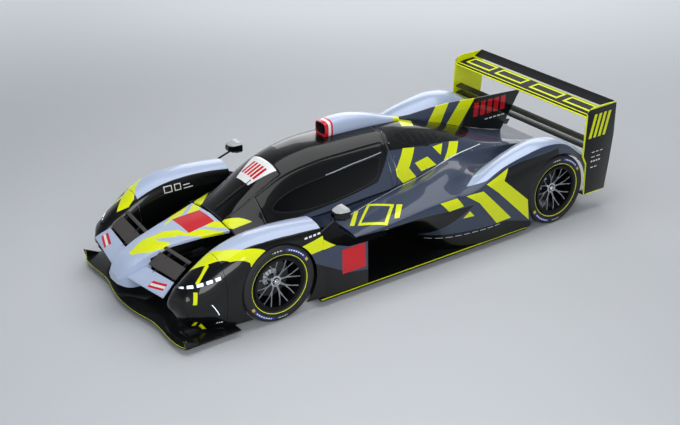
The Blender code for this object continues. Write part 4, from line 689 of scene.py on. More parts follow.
# The crease where cover and side pod meet, in plan, with a painted white highlight along it
CREASE_LINE = ((0.640, -0.480), (0.596, -0.219), (0.536, 0.124), (0.503, 0.438), (0.454, 0.773),
               (0.394, 1.149), (0.360, 1.300))
CREASE_HIGHLIGHT_W = 0.008
# The recess in each shoulder with its slats, in plan; its inside is painted near black as painted shade
RECESS_OUTLINE = ((0.264, 0.249), (0.188, 0.479), (0.177, 0.787), (0.195, 1.123), (0.346, 0.655),
                  (0.342, 0.422))
RECESS_SHADE_BLACK = "#020203"
SHOULDER_COLUMNS = (0.0, 4.6)
RECESS_SLATS, SLAT_FRONT_Y, SLAT_PITCH = 6, 0.400, 0.085
SLAT_INNER_X, SLAT_REACH, SLAT_SKEW, SLAT_R = 0.205, 0.110, 0.030, 0.0035
STUD_R, STUD_H = 0.0065, 0.0022


def studs(name, table, spots, side, material, mirrored=False):
    """Quarter-turn fasteners at places of a body surface, in one mesh."""
    bm = bmesh.new()
    for y, column in spots:
        spot, out = lifted(table, y, column, STUD_H / 2 - 0.0005, mirrored)
        spot.x *= side
        out.x *= side
        place = Matrix.Translation(spot) @ out.to_track_quat("Z", "Y").to_matrix().to_4x4()
        bmesh.ops.create_cone(bm, cap_ends=True, segments=16, radius1=STUD_R, radius2=STUD_R * 0.8,
                              depth=STUD_H, matrix=place)
    return dress(add_piece(name, bm, material, 50.0), "dark_forged_rim")


def column_at(table, y, x, columns):
    """The column at which a surface lies at a distance off the middle, between two columns."""
    low, high = columns
    for _ in range(24):
        middle = (low + high) / 2
        low, high = (middle, high) if surface(table, y, middle, True).x < x else (low, middle)
    return (low + high) / 2


# Composite slats: black with a satin sheen; zinc-plated fasteners: small bright points
satin_black, _, _ = new_material("satin_black_composite", Base_Color=hex_colour("#0C0D0E"), Roughness=0.45)
stud_steel, _, _ = new_material("zinc_plated_fasteners", Base_Color=hex_colour("#9A9DA1"), Metallic=1.0,
                                Roughness=0.3)
cover_paint = painted("slate_metallic_lacquer_on_cover", JET_BLACK, (
    (SLATE, "side", *below(SHOULDER_LINE)),
    (ACID_YELLOW, "side", *CHEVRON_A, SQUARE_B, WEDGE_C, BAND_D),
    (ACID_YELLOW, "plan", SPINE_PATCH),
    # Painted highlight: a thin white line along the crease
    (STRIPE_WHITE, "plan", *line_strips(CREASE_LINE[3:], CREASE_HIGHLIGHT_W)),
    # Painted shade: the recess's inside, drawn darker than the black around it
    (RECESS_SHADE_BLACK, "plan", RECESS_OUTLINE),
), metallic=0.15)
cover_stations = steps((COVER_FRONT_Y + PANEL_GAP, COVER_REAR_Y), 0.022)
cover_columns = both_ways(steps((0.0, SKIN_FOOT), 0.10))
cover = add_piece("engine_cover_skin", skin(CABIN, cover_stations, cover_columns, mirrored=True), cover_paint)
give_wall(cover, WALL)
dress(cover, "gloss_black_paint", "engine_cover")
for name, side in SIDES:
    rim_line = []
    for x, y in rounded(list(RECESS_OUTLINE), 0.25, 3):
        spot, _ = lifted(CABIN, y, column_at(CABIN, y, x, SHOULDER_COLUMNS), 0.0005, True)
        rim_line.append(Vector((side * spot.x, spot.y, spot.z)))
    dress(tube("recess_rim_" + name, rim_line, SEAL_R, seal_rubber, closed=True), "gloss_black_paint")
    for mark in range(RECESS_SLATS):
        y = SLAT_FRONT_Y + mark * SLAT_PITCH
        near = SLAT_INNER_X + abs(mark - 3) * 0.004
        bar = []
        for share in (0.0, 0.5, 1.0):
            column = column_at(CABIN, y, near + share * SLAT_REACH, SHOULDER_COLUMNS)
            spot, _ = lifted(CABIN, y + share * SLAT_SKEW, column, 0.002, True)
            bar.append(Vector((side * spot.x, spot.y, spot.z)))
        slat = tube("recess_slat_%d_%s" % (mark, name), bar, SLAT_R, satin_black)
        dress(slat, "gloss_black_paint")
    places = [(0.228, column) for column in (1.2, 2.2, 3.2, 4.2)]
    places += [(y, 4.75) for y in (0.55, 0.85, 1.15, 1.45, 1.75)] + [(2.055, 1.5), (2.055, 3.5)]
    studs("cover_fasteners_" + name, CABIN, places, side, stud_steel, True)


# Front fenders: carbon mouldings, open inwards to the channel beside the nose and cut out round
# the wheels, each with a flat plate that trails it. Pale blue on the crown, gloss black on the walls.

HUB_Z = 0.355
FRONT_AXLE_Y, REAR_AXLE_Y = -1.40, 1.75
POD_SPLIT_Y = -1.900
FRONT_ARCH_R = 0.368
ARCH_INNER_X = 0.632
# Cross-sections. Columns: y, then (x, z) from the inner wall's foot over the crown to the outer wall's foot
FENDER = (
    (-2.312, ((0.690, 0.322), (0.693, 0.345), (0.702, 0.362), (0.714, 0.372), (0.726, 0.374),
              (0.738, 0.364), (0.745, 0.345), (0.742, 0.326), (0.730, 0.318))),
    (-2.300, ((0.665, 0.300), (0.672, 0.345), (0.690, 0.380), (0.712, 0.400), (0.735, 0.405),
              (0.755, 0.385), (0.768, 0.350), (0.764, 0.318), (0.740, 0.300))),
    (-2.270, ((0.645, 0.290), (0.652, 0.360), (0.680, 0.420), (0.715, 0.445), (0.760, 0.445),
              (0.805, 0.420), (0.835, 0.360), (0.835, 0.290), (0.780, 0.235))),
    (-2.180, ((0.620, 0.290), (0.630, 0.400), (0.665, 0.490), (0.715, 0.525), (0.785, 0.520),
              (0.850, 0.480), (0.900, 0.390), (0.905, 0.270), (0.800, 0.130))),
    (-2.120, ((0.612, 0.295), (0.622, 0.427), (0.660, 0.532), (0.715, 0.570), (0.793, 0.565),
              (0.866, 0.525), (0.924, 0.425), (0.932, 0.280), (0.815, 0.095))),
    (-2.050, ((0.605, 0.300), (0.615, 0.450), (0.655, 0.570), (0.715, 0.610), (0.800, 0.605),
              (0.880, 0.565), (0.945, 0.460), (0.957, 0.300), (0.860, 0.095))),
    (-1.900, ((0.600, 0.320), (0.608, 0.500), (0.650, 0.655), (0.715, 0.700), (0.810, 0.700),
              (0.900, 0.660), (0.965, 0.550), (0.977, 0.350), (0.928, 0.095))),
    (-1.700, ((0.600, 0.400), (0.605, 0.560), (0.645, 0.720), (0.715, 0.765), (0.820, 0.770),
              (0.918, 0.738), (0.975, 0.640), (0.985, 0.420), (0.960, 0.095))),
    (-1.400, ((0.600, 0.525), (0.604, 0.600), (0.640, 0.750), (0.712, 0.788), (0.825, 0.796),
              (0.928, 0.762), (0.975, 0.700), (0.986, 0.500), (0.988, 0.095))),
    (-1.150, ((0.600, 0.525), (0.606, 0.600), (0.642, 0.740), (0.710, 0.776), (0.825, 0.782),
              (0.926, 0.748), (0.972, 0.690), (0.986, 0.500), (0.988, 0.095))),
    (-0.950, ((0.600, 0.480), (0.610, 0.590), (0.645, 0.715), (0.706, 0.755), (0.820, 0.760),
              (0.922, 0.728), (0.968, 0.660), (0.985, 0.500), (0.988, 0.095))),
)
FENDER_REAR_Y = -0.950
TRAIL_PLATE = ((-0.9565, 0.0733), (-0.9565, 0.646), (-0.886, 0.590), (-0.826, 0.550), (-0.700, 0.498),
               (-0.496, 0.487), (-0.496, 0.0733))
TRAIL_X = 0.980
RED_PANEL = ((-0.768, 0.487), (-0.528, 0.487), (-0.520, 0.250), (-0.768, 0.250))

# The yellow flash over the crown, which runs from the arch to the lamps, in plan
CROWN_FLASH = (((0.690, -2.095), (0.655, -1.990), (0.670, -1.925), (0.802, -1.825), (0.906, -1.705),
                (0.967, -1.519), (1.010, -1.500), (1.010, -1.670), (0.978, -1.669), (0.924, -1.825),
                (0.880, -1.875), (0.801, -1.987)),)


def frame_strips(x_low, x_high, y_low, y_high, border):
    """A plain rectangular frame as four strips."""
    return [((x_low, y_low), (x_high, y_low), (x_high, y_low + border), (x_low, y_low + border)),
            ((x_low, y_high - border), (x_high, y_high - border), (x_high, y_high), (x_low, y_high)),
            ((x_low, y_low), (x_low + border, y_low), (x_low + border, y_high), (x_low, y_high)),
            ((x_high - border, y_low), (x_high, y_low), (x_high, y_high), (x_high - border, y_high))]


def arch_cutter(hub_y, radius, inner_x, side):
    """A fine cylinder on the axle, from the arch's inner wall outwards."""
    outer_x = 1.10
    bm = bmesh.new()
    middle = Matrix.Translation((side * (inner_x + outer_x) / 2, hub_y, HUB_Z))
    place = middle @ Matrix.Rotation(math.pi / 2, 4, "Y")
    bmesh.ops.create_cone(bm, cap_ends=True, segments=128, radius1=radius, radius2=radius,
                          depth=outer_x - inner_x, matrix=place)
    return add_piece("arch_cutter", bm, paper)


def plate(name, outline, axis, low, high, material, rounding=0.0, segments=2):
    """A flat outline drawn out along an axis, its rims rounded."""
    order = {"x": lambda a, b, level: (level, a, b), "y": lambda a, b, level: (a, level, b),
             "z": lambda a, b, level: (a, b, level)}[axis]
    bm = bmesh.new()
    face = bm.faces.new([bm.verts.new(order(*point, low)) for point in outline])
    grown = bmesh.ops.extrude_face_region(bm, geom=[face])
    moved = [item for item in grown["geom"] if isinstance(item, bmesh.types.BMVert)]
    bmesh.ops.translate(bm, verts=moved, vec=order(0, 0, high - low))
    bmesh.ops.recalc_face_normals(bm, faces=bm.faces)
    if rounding:
        rims = [edge for edge in bm.edges if len({face.normal.to_tuple(2) for face in edge.link_faces}) > 1
                and any(len(face.verts) > 4 for face in edge.link_faces)]
        bmesh.ops.bevel(bm, geom=rims, offset=rounding, segments=segments, profile=0.5, affect="EDGES",
                        material=-1)
    return add_piece(name, bm, material)


fender_paint = painted("pale_blue_lacquer_on_fender", JET_BLACK, (
    (PALE_BLUE, "plan", ((0.655, -1.99), (0.648, -0.90), (0.922, -0.90), (0.930, -1.250), (0.924, -1.519),
                         (0.906, -1.705), (0.802, -1.825))),
    (SLATE, "flank", ((-1.16, 0.640), (-0.90, 0.620), (-0.40, 0.600), (-0.40, 0.195), (-0.70, 0.247),
                      (-1.05, 0.446))),
    (ACID_YELLOW, "plan", *CROWN_FLASH),
    (JET_BLACK, "flank", ((-1.920, 0.672), (-1.825, 0.655), (-1.665, 0.585), (-1.600, 0.500), (-1.600, 0.05),
                         (-1.920, 0.05))),
    (ACID_YELLOW, "flank", ((-1.175, 0.640), (-0.940, 0.672), (-0.820, 0.556), (-1.079, 0.541))),
    (SIGNAL_RED, "flank", RED_PANEL),
    (STRIPE_WHITE, "flank", *slanted_bars(-1.135, 0.046, 0.030, 0.690, 0.704, 0.004, 4)),
    (STRIPE_WHITE, "inner", *frame_strips(-1.640, -1.560, 0.660, 0.722, 0.007),
     *frame_strips(-1.535, -1.470, 0.660, 0.722, 0.007),
     ((-1.445, 0.660), (-1.350, 0.660), (-1.350, 0.668), (-1.445, 0.668)),
     ((-1.445, 0.690), (-1.380, 0.690), (-1.380, 0.698), (-1.445, 0.698))),
), flank_from=0.930, inner_to=0.645)
fender_stations = steps((POD_SPLIT_Y + PANEL_GAP, FENDER_REAR_Y), 0.016)
fender_columns = steps((0.0, 8.0), 0.12)
for name, side in SIDES:
    fender = add_piece("front_fender_skin_" + name, skin(FENDER, fender_stations, fender_columns, side),
                       fender_paint)
    give_wall(fender, WALL)
    carve(fender, arch_cutter(FRONT_AXLE_Y, FRONT_ARCH_R, ARCH_INNER_X, side))
    dress(fender, "pale_blue_paint", "front_fender_" + name)
    trail = plate("fender_trail_" + name, TRAIL_PLATE, "x", side * TRAIL_X, side * (TRAIL_X + WALL),
                  fender_paint, rounding=0.003)
    dress(trail, "pale_blue_paint")


# Lamp pods: closed black carbon mouldings that carry the fenders' surface on to the splitter. A channel
# in each holds five clear lenses over lit sources, clipped to a tray, and a slim day lamp sits below.

# The row of lamps and the day lamp. Columns: y, (fractional) column of the fender's table
LAMP_PATH = ((-2.237, 3.20), (-2.189, 4.25), (-2.129, 4.95), (-2.056, 5.25), (-1.985, 5.50), (-1.922, 5.70))
DAY_LAMP_PATH = ((-2.040, 6.62), (-2.015, 6.90), (-1.992, 7.15), (-1.972, 7.36))
LAMP_HALF, LAMP_DEPTH, LAMP_BACK_T, LAMP_GAP = 0.017, 0.014, 0.005, 0.0005
LAMP_END, LENS_INSET, LENS_PROUD = 0.04, 0.17, 0.002
DAY_LAMP_HALF = 0.0035
POD_PARTING_X = 0.710
FLASH_TAIL = (((0.786, -1.972), (0.830, -1.975), (0.858, -2.060), (0.830, -2.060)),
              ((0.830, -2.060), (0.858, -2.060), (0.876, -2.110), (0.848, -2.118)))


def close_skin(bm, parting_x):
    """Closes a skin: a floor between its two feet, which lie either side of the parting, and its ends."""
    chains = [[edge for edge in bm.edges
               if edge.is_boundary and abs(edge.verts[0].co.y - edge.verts[1].co.y) > 0.001
               and all(sign * (vert.co.x - parting_x) > 0 for vert in edge.verts)] for sign in (1, -1)]
    bmesh.ops.bridge_loops(bm, edges=chains[0] + chains[1])
    bmesh.ops.holes_fill(bm, edges=bm.edges, sides=0)
    bmesh.ops.recalc_face_normals(bm, faces=bm.faces)
    return bm


def soften(piece, width, segments=3, degrees=28.0):
    """Rounds a piece's edges."""
    rim = piece.modifiers.new("rounded_edges", "BEVEL")
    rim.width, rim.segments = width, segments
    rim.limit_method, rim.angle_limit = "ANGLE", math.radians(degrees)
    return settle(piece, 35.0)


def loft(name, rings, material, side=1, smooth=40.0):
    """A closed solid: rings of equal count bridged one to the next, with its ends filled."""
    bm = bmesh.new()
    loops = []
    for ring in rings:
        verts = [bm.verts.new((side * point[0], point[1], point[2])) for point in ring]
        loops.append([bm.edges.new((verts[mark - 1], verts[mark])) for mark in range(len(verts))])
    for near, far in zip(loops, loops[1:]):
        bmesh.ops.bridge_loops(bm, edges=near + far)
    for ends in (loops[0], loops[-1]):
        bmesh.ops.edgeloop_fill(bm, edges=ends)
    bmesh.ops.recalc_face_normals(bm, faces=bm.faces)
    return add_piece(name, bm, material, smooth)


def lamp_bar(name, side, start, end, low, high, half, material, path=LAMP_PATH):
    """A bar that follows a path of lamps on the pod, between two depths."""
    spots = [surface(FENDER, *spot) for spot in path]
    along = (spots[-1] - spots[0]).normalized()

    def corners(mark):
        beside = surface(FENDER, path[mark][0], path[mark][1] + 0.1) - spots[mark]
        out = beside.cross(along).normalized()
        out *= math.copysign(1.0, out.x)
        over = along.cross(out).normalized()
        return [spots[mark] + over * width + out * depth
                for width, depth in ((-half, low), (half, low), (half, high), (-half, high))]

    rings = []
    for place in [start] + [mark for mark in range(len(path)) if start < mark < end] + [end]:
        mark = min(int(place), len(path) - 2)
        rings.append([near.lerp(far, place - mark) for near, far in zip(corners(mark), corners(mark + 1))])
    return loft(name, rings, material, side)


pod_paint = painted("gloss_black_lacquer_on_pod", JET_BLACK, (
    (ACID_YELLOW, "plan", *CROWN_FLASH, *FLASH_TAIL),
    (ACID_YELLOW, "flank", ((-2.154, 0.482), (-2.127, 0.482), (-2.151, 0.385), (-2.180, 0.385)),
     ((-2.166, 0.203), (-2.140, 0.203), (-2.146, 0.150), (-2.172, 0.150))),
    (STRIPE_WHITE, "flank", *slanted_bars(-1.990, 0.020, 0.012, 0.150, 0.162, 0.003, 3)),
), flank_from=0.780)
# Moulded tray: satin black; lit lens: clear and bright, with a hard gloss
lamp_housing, _, _ = new_material("satin_black_lamp_housing", Base_Color=hex_colour("#0D0E10"), Roughness=0.4)
lit_lens, _, _ = new_material("lit_clear_lens", Base_Color=hex_colour("#E6F2FF"), Roughness=0.12,
                              Coat_Weight=0.8, Emission_Color=hex_colour("#DCEEFF"), Emission_Strength=0.9)
pod_stations = steps((-2.312, -2.300, -2.270, POD_SPLIT_Y - PANEL_GAP), 0.010)
last = len(LAMP_PATH) - 1
for name, side in SIDES:
    pod_bm = close_skin(skin(FENDER, pod_stations, fender_columns, side), side * POD_PARTING_X)
    pod = add_piece("lamp_pod_skin_" + name, pod_bm, pod_paint)
    carve(pod, lamp_bar("lamp_channel", side, 0, last, -LAMP_DEPTH, LAMP_DEPTH, LAMP_HALF, paper))
    dress(pod, "gloss_black_paint", "lamp_pod_" + name)
    tray = lamp_bar("headlamp_tray_" + name, side, LAMP_END, last - LAMP_END, -LAMP_DEPTH + LAMP_GAP,
                    -LAMP_DEPTH + LAMP_BACK_T, LAMP_HALF - LAMP_GAP, lamp_housing)
    dress(tray, "headlamp_lens", "headlamp_" + name)
    for mark in range(last):
        lens = lamp_bar("headlamp_lens_%d_%s" % (mark, name), side, mark + LENS_INSET, mark + 1 - LENS_INSET,
                        -LAMP_DEPTH + LAMP_BACK_T, LENS_PROUD, LAMP_HALF - 0.003, lit_lens)
        dress(soften(lens, 0.0035), "headlamp_lens")
    marker = lamp_bar("day_lamp_" + name, side, 0, len(DAY_LAMP_PATH) - 1, -0.002, 0.0015, DAY_LAMP_HALF,
                      lit_lens, DAY_LAMP_PATH)
    dress(soften(marker, 0.001), "headlamp_lens")


# Nose: the raised crash cone, a closed carbon moulding on two pylons over the splitter.
# Pale blue lacquer with acid yellow bands round a plain red panel.

# Cross-sections. Columns: y, then (x, z) from the middle of the top round to the bottom's edge
NOSE = (
    (-2.475, ((0.000, 0.3766), (0.036, 0.384), (0.060, 0.368), (0.085, 0.345), (0.060, 0.300))),
    (-2.425, ((0.000, 0.4335), (0.066, 0.437), (0.110, 0.421), (0.125, 0.380), (0.100, 0.270))),
    (-2.250, ((0.000, 0.5316), (0.090, 0.532), (0.150, 0.516), (0.165, 0.440), (0.140, 0.245))),
    (-2.000, ((0.000, 0.6046), (0.114, 0.602), (0.190, 0.586), (0.215, 0.490), (0.180, 0.235))),
    (-1.750, ((0.000, 0.6400), (0.156, 0.632), (0.260, 0.616), (0.270, 0.520), (0.220, 0.230))),
    (-1.5005, ((0.000, 0.6670), (0.210, 0.652), (0.350, 0.636), (0.330, 0.530), (0.250, 0.225))),
)
NOSE_BAND_B = ((0.150, -1.815), (0.172, -1.700), (0.330, -1.545), (0.345, -1.640), (0.286, -1.715),
               (0.205, -1.818), (0.110, -1.910))
NOSE_FLASH = ((-0.014, -2.300), (-0.062, -2.133), (-0.041, -2.062), (0.076, -2.063), (0.181, -1.983),
              (0.187, -2.054), (0.151, -2.177), (0.031, -2.302))
NOSE_LINK = ((-0.035, -2.065), (-0.028, -1.959), (0.056, -1.851), (0.143, -1.825), (0.132, -1.924),
             (0.035, -2.059))
NOSE_PANEL = ((-0.165, -1.805), (-0.140, -1.540), (0.140, -1.540), (0.160, -1.805))

nose_paint = painted("pale_blue_lacquer_on_nose", PALE_BLUE, (
    (ACID_YELLOW, "whole", NOSE_FLASH, NOSE_LINK),
    (ACID_YELLOW, "plan", NOSE_BAND_A, NOSE_BAND_B),
    (JET_BLACK, "side", ((-2.190, 0.500), (-2.000, 0.562), (-1.750, 0.594), (-1.490, 0.612), (-1.490, 0.150),
                         (-2.190, 0.150))),
    (SIGNAL_RED, "whole", NOSE_PANEL),
))
nose_bm = skin(NOSE, steps((-2.475, -2.425, -1.5005), 0.016), both_ways(steps((0.0, 2.0, 3.0, 4.0), 0.25)),
               mirrored=True, straight=True)
nose = soften(add_piece("nose_cone", close_skin(nose_bm, 0.0), nose_paint), 0.010)
dress(nose, "pale_blue_paint", "nose")


# Front wing: a broad pale blue beam from nose to pod, a slotted plate and a twin bar behind it.
# All are carbon, the beam lacquered and the others in dark grey satin.

# Columns: inner leading edge, inner trailing edge, outer leading edge, outer trailing edge, thickness
WING_ELEMENTS = (
    ((0.090, -2.418, 0.378), (0.110, -2.236, 0.430), (0.672, -2.335, 0.395), (0.622, -2.200, 0.475), 0.014),
    ((0.120, -2.215, 0.450), (0.140, -2.100, 0.540), (0.618, -2.185, 0.490), (0.606, -2.075, 0.560), 0.010),
    ((0.140, -2.065, 0.562), (0.150, -2.035, 0.575), (0.602, -2.045, 0.585), (0.602, -2.015, 0.600), 0.008),
)
RIB_OUTLINE = ((-2.310, 0.385), (-2.300, 0.412), (-2.240, 0.442), (-2.200, 0.462), (-2.110, 0.538),
               (-2.060, 0.570), (-2.030, 0.586), (-2.025, 0.570), (-2.110, 0.500), (-2.200, 0.420))
# Share of the chord, height as a share of half the thickness
AEROFOIL = ((0.0, 0.0), (0.02, 0.5), (0.08, 0.85), (0.25, 1.0), (0.5, 0.9), (0.75, 0.55), (1.0, 0.12),
            (1.0, -0.12), (0.75, -0.45), (0.5, -0.75), (0.25, -0.85), (0.08, -0.7), (0.02, -0.4))
RIB_PLACES = (0.300, 0.560)
RIB_HALF_T = 0.004
TWILL_MM = 6.0

beam_paint = painted("pale_blue_lacquer_on_beam", PALE_BLUE, (
    (SIGNAL_RED, "plan", ((0.430, -2.355), (0.415, -2.290), (0.585, -2.240), (0.607, -2.300))),
    (STRIPE_WHITE, "plan", ((0.430, -2.335), (0.424, -2.312), (0.592, -2.262), (0.600, -2.282))),
))
plate_grey = painted("satin_grey_lacquer_on_slotted_plate", "#4B4846", rough=0.45, coat=0.2)
# Laminate under a thin coat: black twill, drawn coarser than its 2 mm so that it shows
satin_carbon, carbon_tree, carbon_shader = new_material(
    "satin_carbon_laminate", Roughness=0.32, Coat_Weight=0.5, Coat_Roughness=0.15)
weave = add_node(carbon_tree, "TexChecker", {
    "Vector": add_node(carbon_tree, "TexCoord", out="Object"), "Color1": hex_colour("#232527"),
    "Color2": hex_colour("#17181A"), "Scale": 1000 / TWILL_MM})
carbon_tree.links.new(weave, carbon_shader.inputs["Base Color"])


def aerofoil_ring(lead, trail, thickness):
    """The section of a wing element between its leading and its trailing edge."""
    chord = Vector(trail) - Vector(lead)
    return [Vector(lead) + chord * share + Vector((0, 0, thickness / 2 * rise)) for share, rise in AEROFOIL]


for name, side in SIDES:
    for mark, (in_lead, in_trail, out_lead, out_trail, thickness) in enumerate(WING_ELEMENTS):
        pairs = list(zip(aerofoil_ring(in_lead, in_trail, thickness),
                         aerofoil_ring(out_lead, out_trail, thickness)))
        rings = [[near.lerp(far, share) for near, far in pairs] for share in (0.0, 0.25, 0.5, 0.75, 1.0)]
        element = loft("front_wing_element_%d_%s" % (mark, name), rings, plate_grey if mark else beam_paint,
                       side)
        nodes = () if mark else ("front_wing_" + name,)
        dress(element, "carbon_laminate" if mark else "pale_blue_paint", *nodes)
    for x in RIB_PLACES:
        rib = plate("front_wing_rib_%d_%s" % (x * 1000, name), RIB_OUTLINE, "x", side * (x - RIB_HALF_T),
                    side * (x + RIB_HALF_T), satin_carbon)
        dress(rib, "carbon_laminate")


# Rear quarters: side pod, rear fender and side panel in one carbon moulding each.
# Slate metallic with acid yellow blocks, pale blue on the fender's crown, black undercut.

REAR_ARCH_R = 0.376
REAR_ARCH_INNER_X = 0.6385
# Cross-sections. Columns: y, then (x, z) from the edge at the cover over the crown down to the sill
QUARTER = (
    (-0.600, ((0.566, 0.560), (0.620, 0.566), (0.700, 0.568), (0.780, 0.566), (0.850, 0.562), (0.900, 0.557),
              (0.935, 0.550), (0.950, 0.542), (0.940, 0.533), (0.900, 0.526), (0.780, 0.520),
              (0.650, 0.515))),
    (-0.300, ((0.558, 0.600), (0.620, 0.606), (0.700, 0.606), (0.780, 0.602), (0.850, 0.595), (0.910, 0.585),
              (0.955, 0.572), (0.975, 0.555), (0.965, 0.530), (0.920, 0.500), (0.780, 0.460),
              (0.620, 0.420))),
    (0.100, ((0.520, 0.640), (0.600, 0.655), (0.690, 0.650), (0.770, 0.640), (0.840, 0.630), (0.905, 0.615),
             (0.955, 0.598), (0.980, 0.570), (0.972, 0.520), (0.910, 0.440), (0.780, 0.330), (0.640, 0.220))),
    (0.200, ((0.503, 0.650), (0.590, 0.662), (0.680, 0.660), (0.760, 0.650), (0.832, 0.638), (0.900, 0.620),
             (0.952, 0.602), (0.980, 0.569), (0.976, 0.510), (0.925, 0.415), (0.820, 0.300), (0.700, 0.190))),
    (0.450, ((0.487, 0.672), (0.570, 0.690), (0.660, 0.690), (0.740, 0.675), (0.815, 0.655), (0.885, 0.632),
             (0.945, 0.608), (0.980, 0.565), (0.982, 0.460), (0.960, 0.340), (0.925, 0.220), (0.890, 0.050))),
    (0.800, ((0.457, 0.725), (0.530, 0.720), (0.610, 0.705), (0.690, 0.680), (0.760, 0.655), (0.830, 0.645),
             (0.900, 0.640), (0.965, 0.600), (0.984, 0.480), (0.990, 0.360), (0.992, 0.240), (0.992, 0.050))),
    (1.100, ((0.441, 0.728), (0.490, 0.680), (0.545, 0.640), (0.615, 0.635), (0.675, 0.690), (0.760, 0.745),
             (0.860, 0.765), (0.940, 0.735), (0.980, 0.600), (0.990, 0.450), (0.994, 0.280), (0.994, 0.050))),
    (1.360, ((0.433, 0.710), (0.470, 0.640), (0.520, 0.590), (0.580, 0.600), (0.632, 0.730), (0.730, 0.808),
             (0.850, 0.828), (0.945, 0.790), (0.984, 0.680), (0.994, 0.500), (0.998, 0.300), (0.998, 0.050))),
    (1.620, ((0.423, 0.680), (0.450, 0.610), (0.500, 0.560), (0.565, 0.570), (0.612, 0.750), (0.715, 0.838),
             (0.840, 0.858), (0.945, 0.825), (0.986, 0.745), (0.995, 0.600), (0.998, 0.400), (0.998, 0.200))),
    (1.880, ((0.413, 0.632), (0.435, 0.575), (0.490, 0.535), (0.560, 0.540), (0.608, 0.690), (0.710, 0.790),
             (0.835, 0.812), (0.940, 0.785), (0.982, 0.700), (0.986, 0.560), (0.987, 0.400), (0.987, 0.200))),
    (2.080, ((0.406, 0.590), (0.430, 0.535), (0.490, 0.505), (0.560, 0.505), (0.608, 0.580), (0.710, 0.665),
             (0.835, 0.690), (0.935, 0.670), (0.978, 0.600), (0.9872, 0.500), (0.9877, 0.380),
             (0.9877, 0.200))),
    (2.360, ((0.395, 0.520), (0.430, 0.455), (0.490, 0.430), (0.550, 0.425), (0.610, 0.425), (0.710, 0.435),
             (0.835, 0.445), (0.930, 0.440), (0.970, 0.425), (0.984, 0.400), (0.9877, 0.360),
             (0.9877, 0.300))),
)
QUARTER_FOOT_Z = 0.0733
TAIL_CUT_Z = 0.300
UNDERCUT = ((-0.62, 0.470), (0.040, 0.538), (0.714, 0.490), (0.186, 0.250), (0.100, 0.040), (-0.62, 0.040))
SILL_BAND = ((0.186, 0.256), (1.112, 0.219), (1.420, 0.128), (1.420, 0.030), (0.100, 0.030))
POD_FRAME = ((0.596, -0.219), (0.760, -0.043), (0.968, -0.271), (0.832, -0.496))
POD_FRAME_INNER = ((0.636, -0.226), (0.763, -0.088), (0.928, -0.273), (0.815, -0.445))

quarter_paint = painted("slate_metallic_lacquer_on_quarter", SLATE, (
    (PALE_BLUE, "plan", ((0.862, 0.715), (0.781, 0.847), (0.640, 1.180), (0.600, 1.450), (0.600, 2.40),
                         (0.990, 2.40), (0.957, 2.00), (0.936, 1.90), (0.926, 0.900))),
    (SLATE, "side", ((1.960, 0.640), (2.080, 0.580), (2.380, 0.380), (2.380, 0.0), (1.960, 0.0))),
    (ACID_YELLOW, "plan", POD_FRAME, ((0.774, -0.026), (0.805, 0.017), (0.945, -0.121), (0.930, -0.167)),
     ((0.606, -0.372), (0.634, -0.347), (0.813, -0.518), (0.786, -0.548))),
    (SLATE, "plan", POD_FRAME_INNER),
    # Painted highlight: a thin white line along the crease
    (STRIPE_WHITE, "plan", *line_strips(CREASE_LINE[:5], CREASE_HIGHLIGHT_W)),
    (JET_BLACK, "side", UNDERCUT, SILL_BAND),
    (STRIPE_WHITE, "flank", *slanted_bars(0.260, 0.088, 0.064, 0.2070, 0.2115, 0.002, 9)),
    (JET_BLACK, "flank", ((1.080, 0.632), (1.143, 0.735), (1.300, 0.764), (1.760, 0.790), (1.760, 0.500),
                         (1.360, 0.366))),
    (ACID_YELLOW, "flank", ((0.883, 0.640), (1.143, 0.738), (1.080, 0.632), (1.370, 0.366), (1.392, 0.150),
                           (0.998, 0.542))),
    (ACID_YELLOW, "flank", ((0.636, 0.592), (0.830, 0.592), (1.166, 0.235), (0.986, 0.230), (0.777, 0.494))),
    (ACID_YELLOW, "flank", ((0.335, 0.600), (0.530, 0.600), (0.587, 0.513), (0.413, 0.509))),
    (ACID_YELLOW, "flank", ((0.584, 0.389), (0.662, 0.444), (0.717, 0.379))),
), metallic=0.2, flank_from=0.800)


def trim_below(piece, y_low, y_high, z):
    """Cuts away what lies under a height between two stations."""
    bm = bmesh.new()
    size = Matrix.Diagonal((4.0, y_high - y_low, 1.0, 1.0))
    bmesh.ops.create_cube(bm, size=1.0, matrix=Matrix.Translation((0, (y_low + y_high) / 2, z - 0.5)) @ size)
    return carve(piece, add_piece("trim_block", bm, paper))


quarter_stations = steps((-0.600, 2.360), 0.022)
quarter_columns = steps((0.0, 11.0), 0.14)
for name, side in SIDES:
    quarter = add_piece("rear_quarter_skin_" + name, skin(QUARTER, quarter_stations, quarter_columns, side),
                        quarter_paint)
    give_wall(quarter, WALL)
    carve(quarter, arch_cutter(REAR_AXLE_Y, REAR_ARCH_R, REAR_ARCH_INNER_X, side))
    trim_below(quarter, -0.9, REAR_AXLE_Y - 0.1, QUARTER_FOOT_Z)
    trim_below(quarter, REAR_AXLE_Y, 2.6, TAIL_CUT_Z)
    dress(quarter, "pale_blue_paint", "rear_quarter_" + name)


# Tyres: racing slicks, moulded rubber with a smooth tread and rounded shoulders.
# The side walls carry coloured bands with plain white dashes, and a yellow ring at the bead.

FRONT_WHEEL_X, REAR_WHEEL_X = 0.840, 0.815
TYRE_FRONT_W, TYRE_REAR_W = 0.290, 0.340
WHEEL_STEPS = 96
BAND_BLUE = "#1C3F94"
# Distance in from the side wall's widest plane, radius
TYRE_WALL = ((0.022, 0.2385), (0.021, 0.2480), (0.012, 0.2570), (0.004, 0.2750), (0.000, 0.3080),
             (0.003, 0.3280), (0.009, 0.3420), (0.018, 0.3500), (0.032, 0.3545), (0.050, 0.3549))
TYRE_LINER = ((0.060, 0.335), (0.034, 0.300), (0.034, 0.2385))
RING_R, RING_W = 0.2705, 0.0055
BAND_R, BAND_W = 0.3130, 0.0260
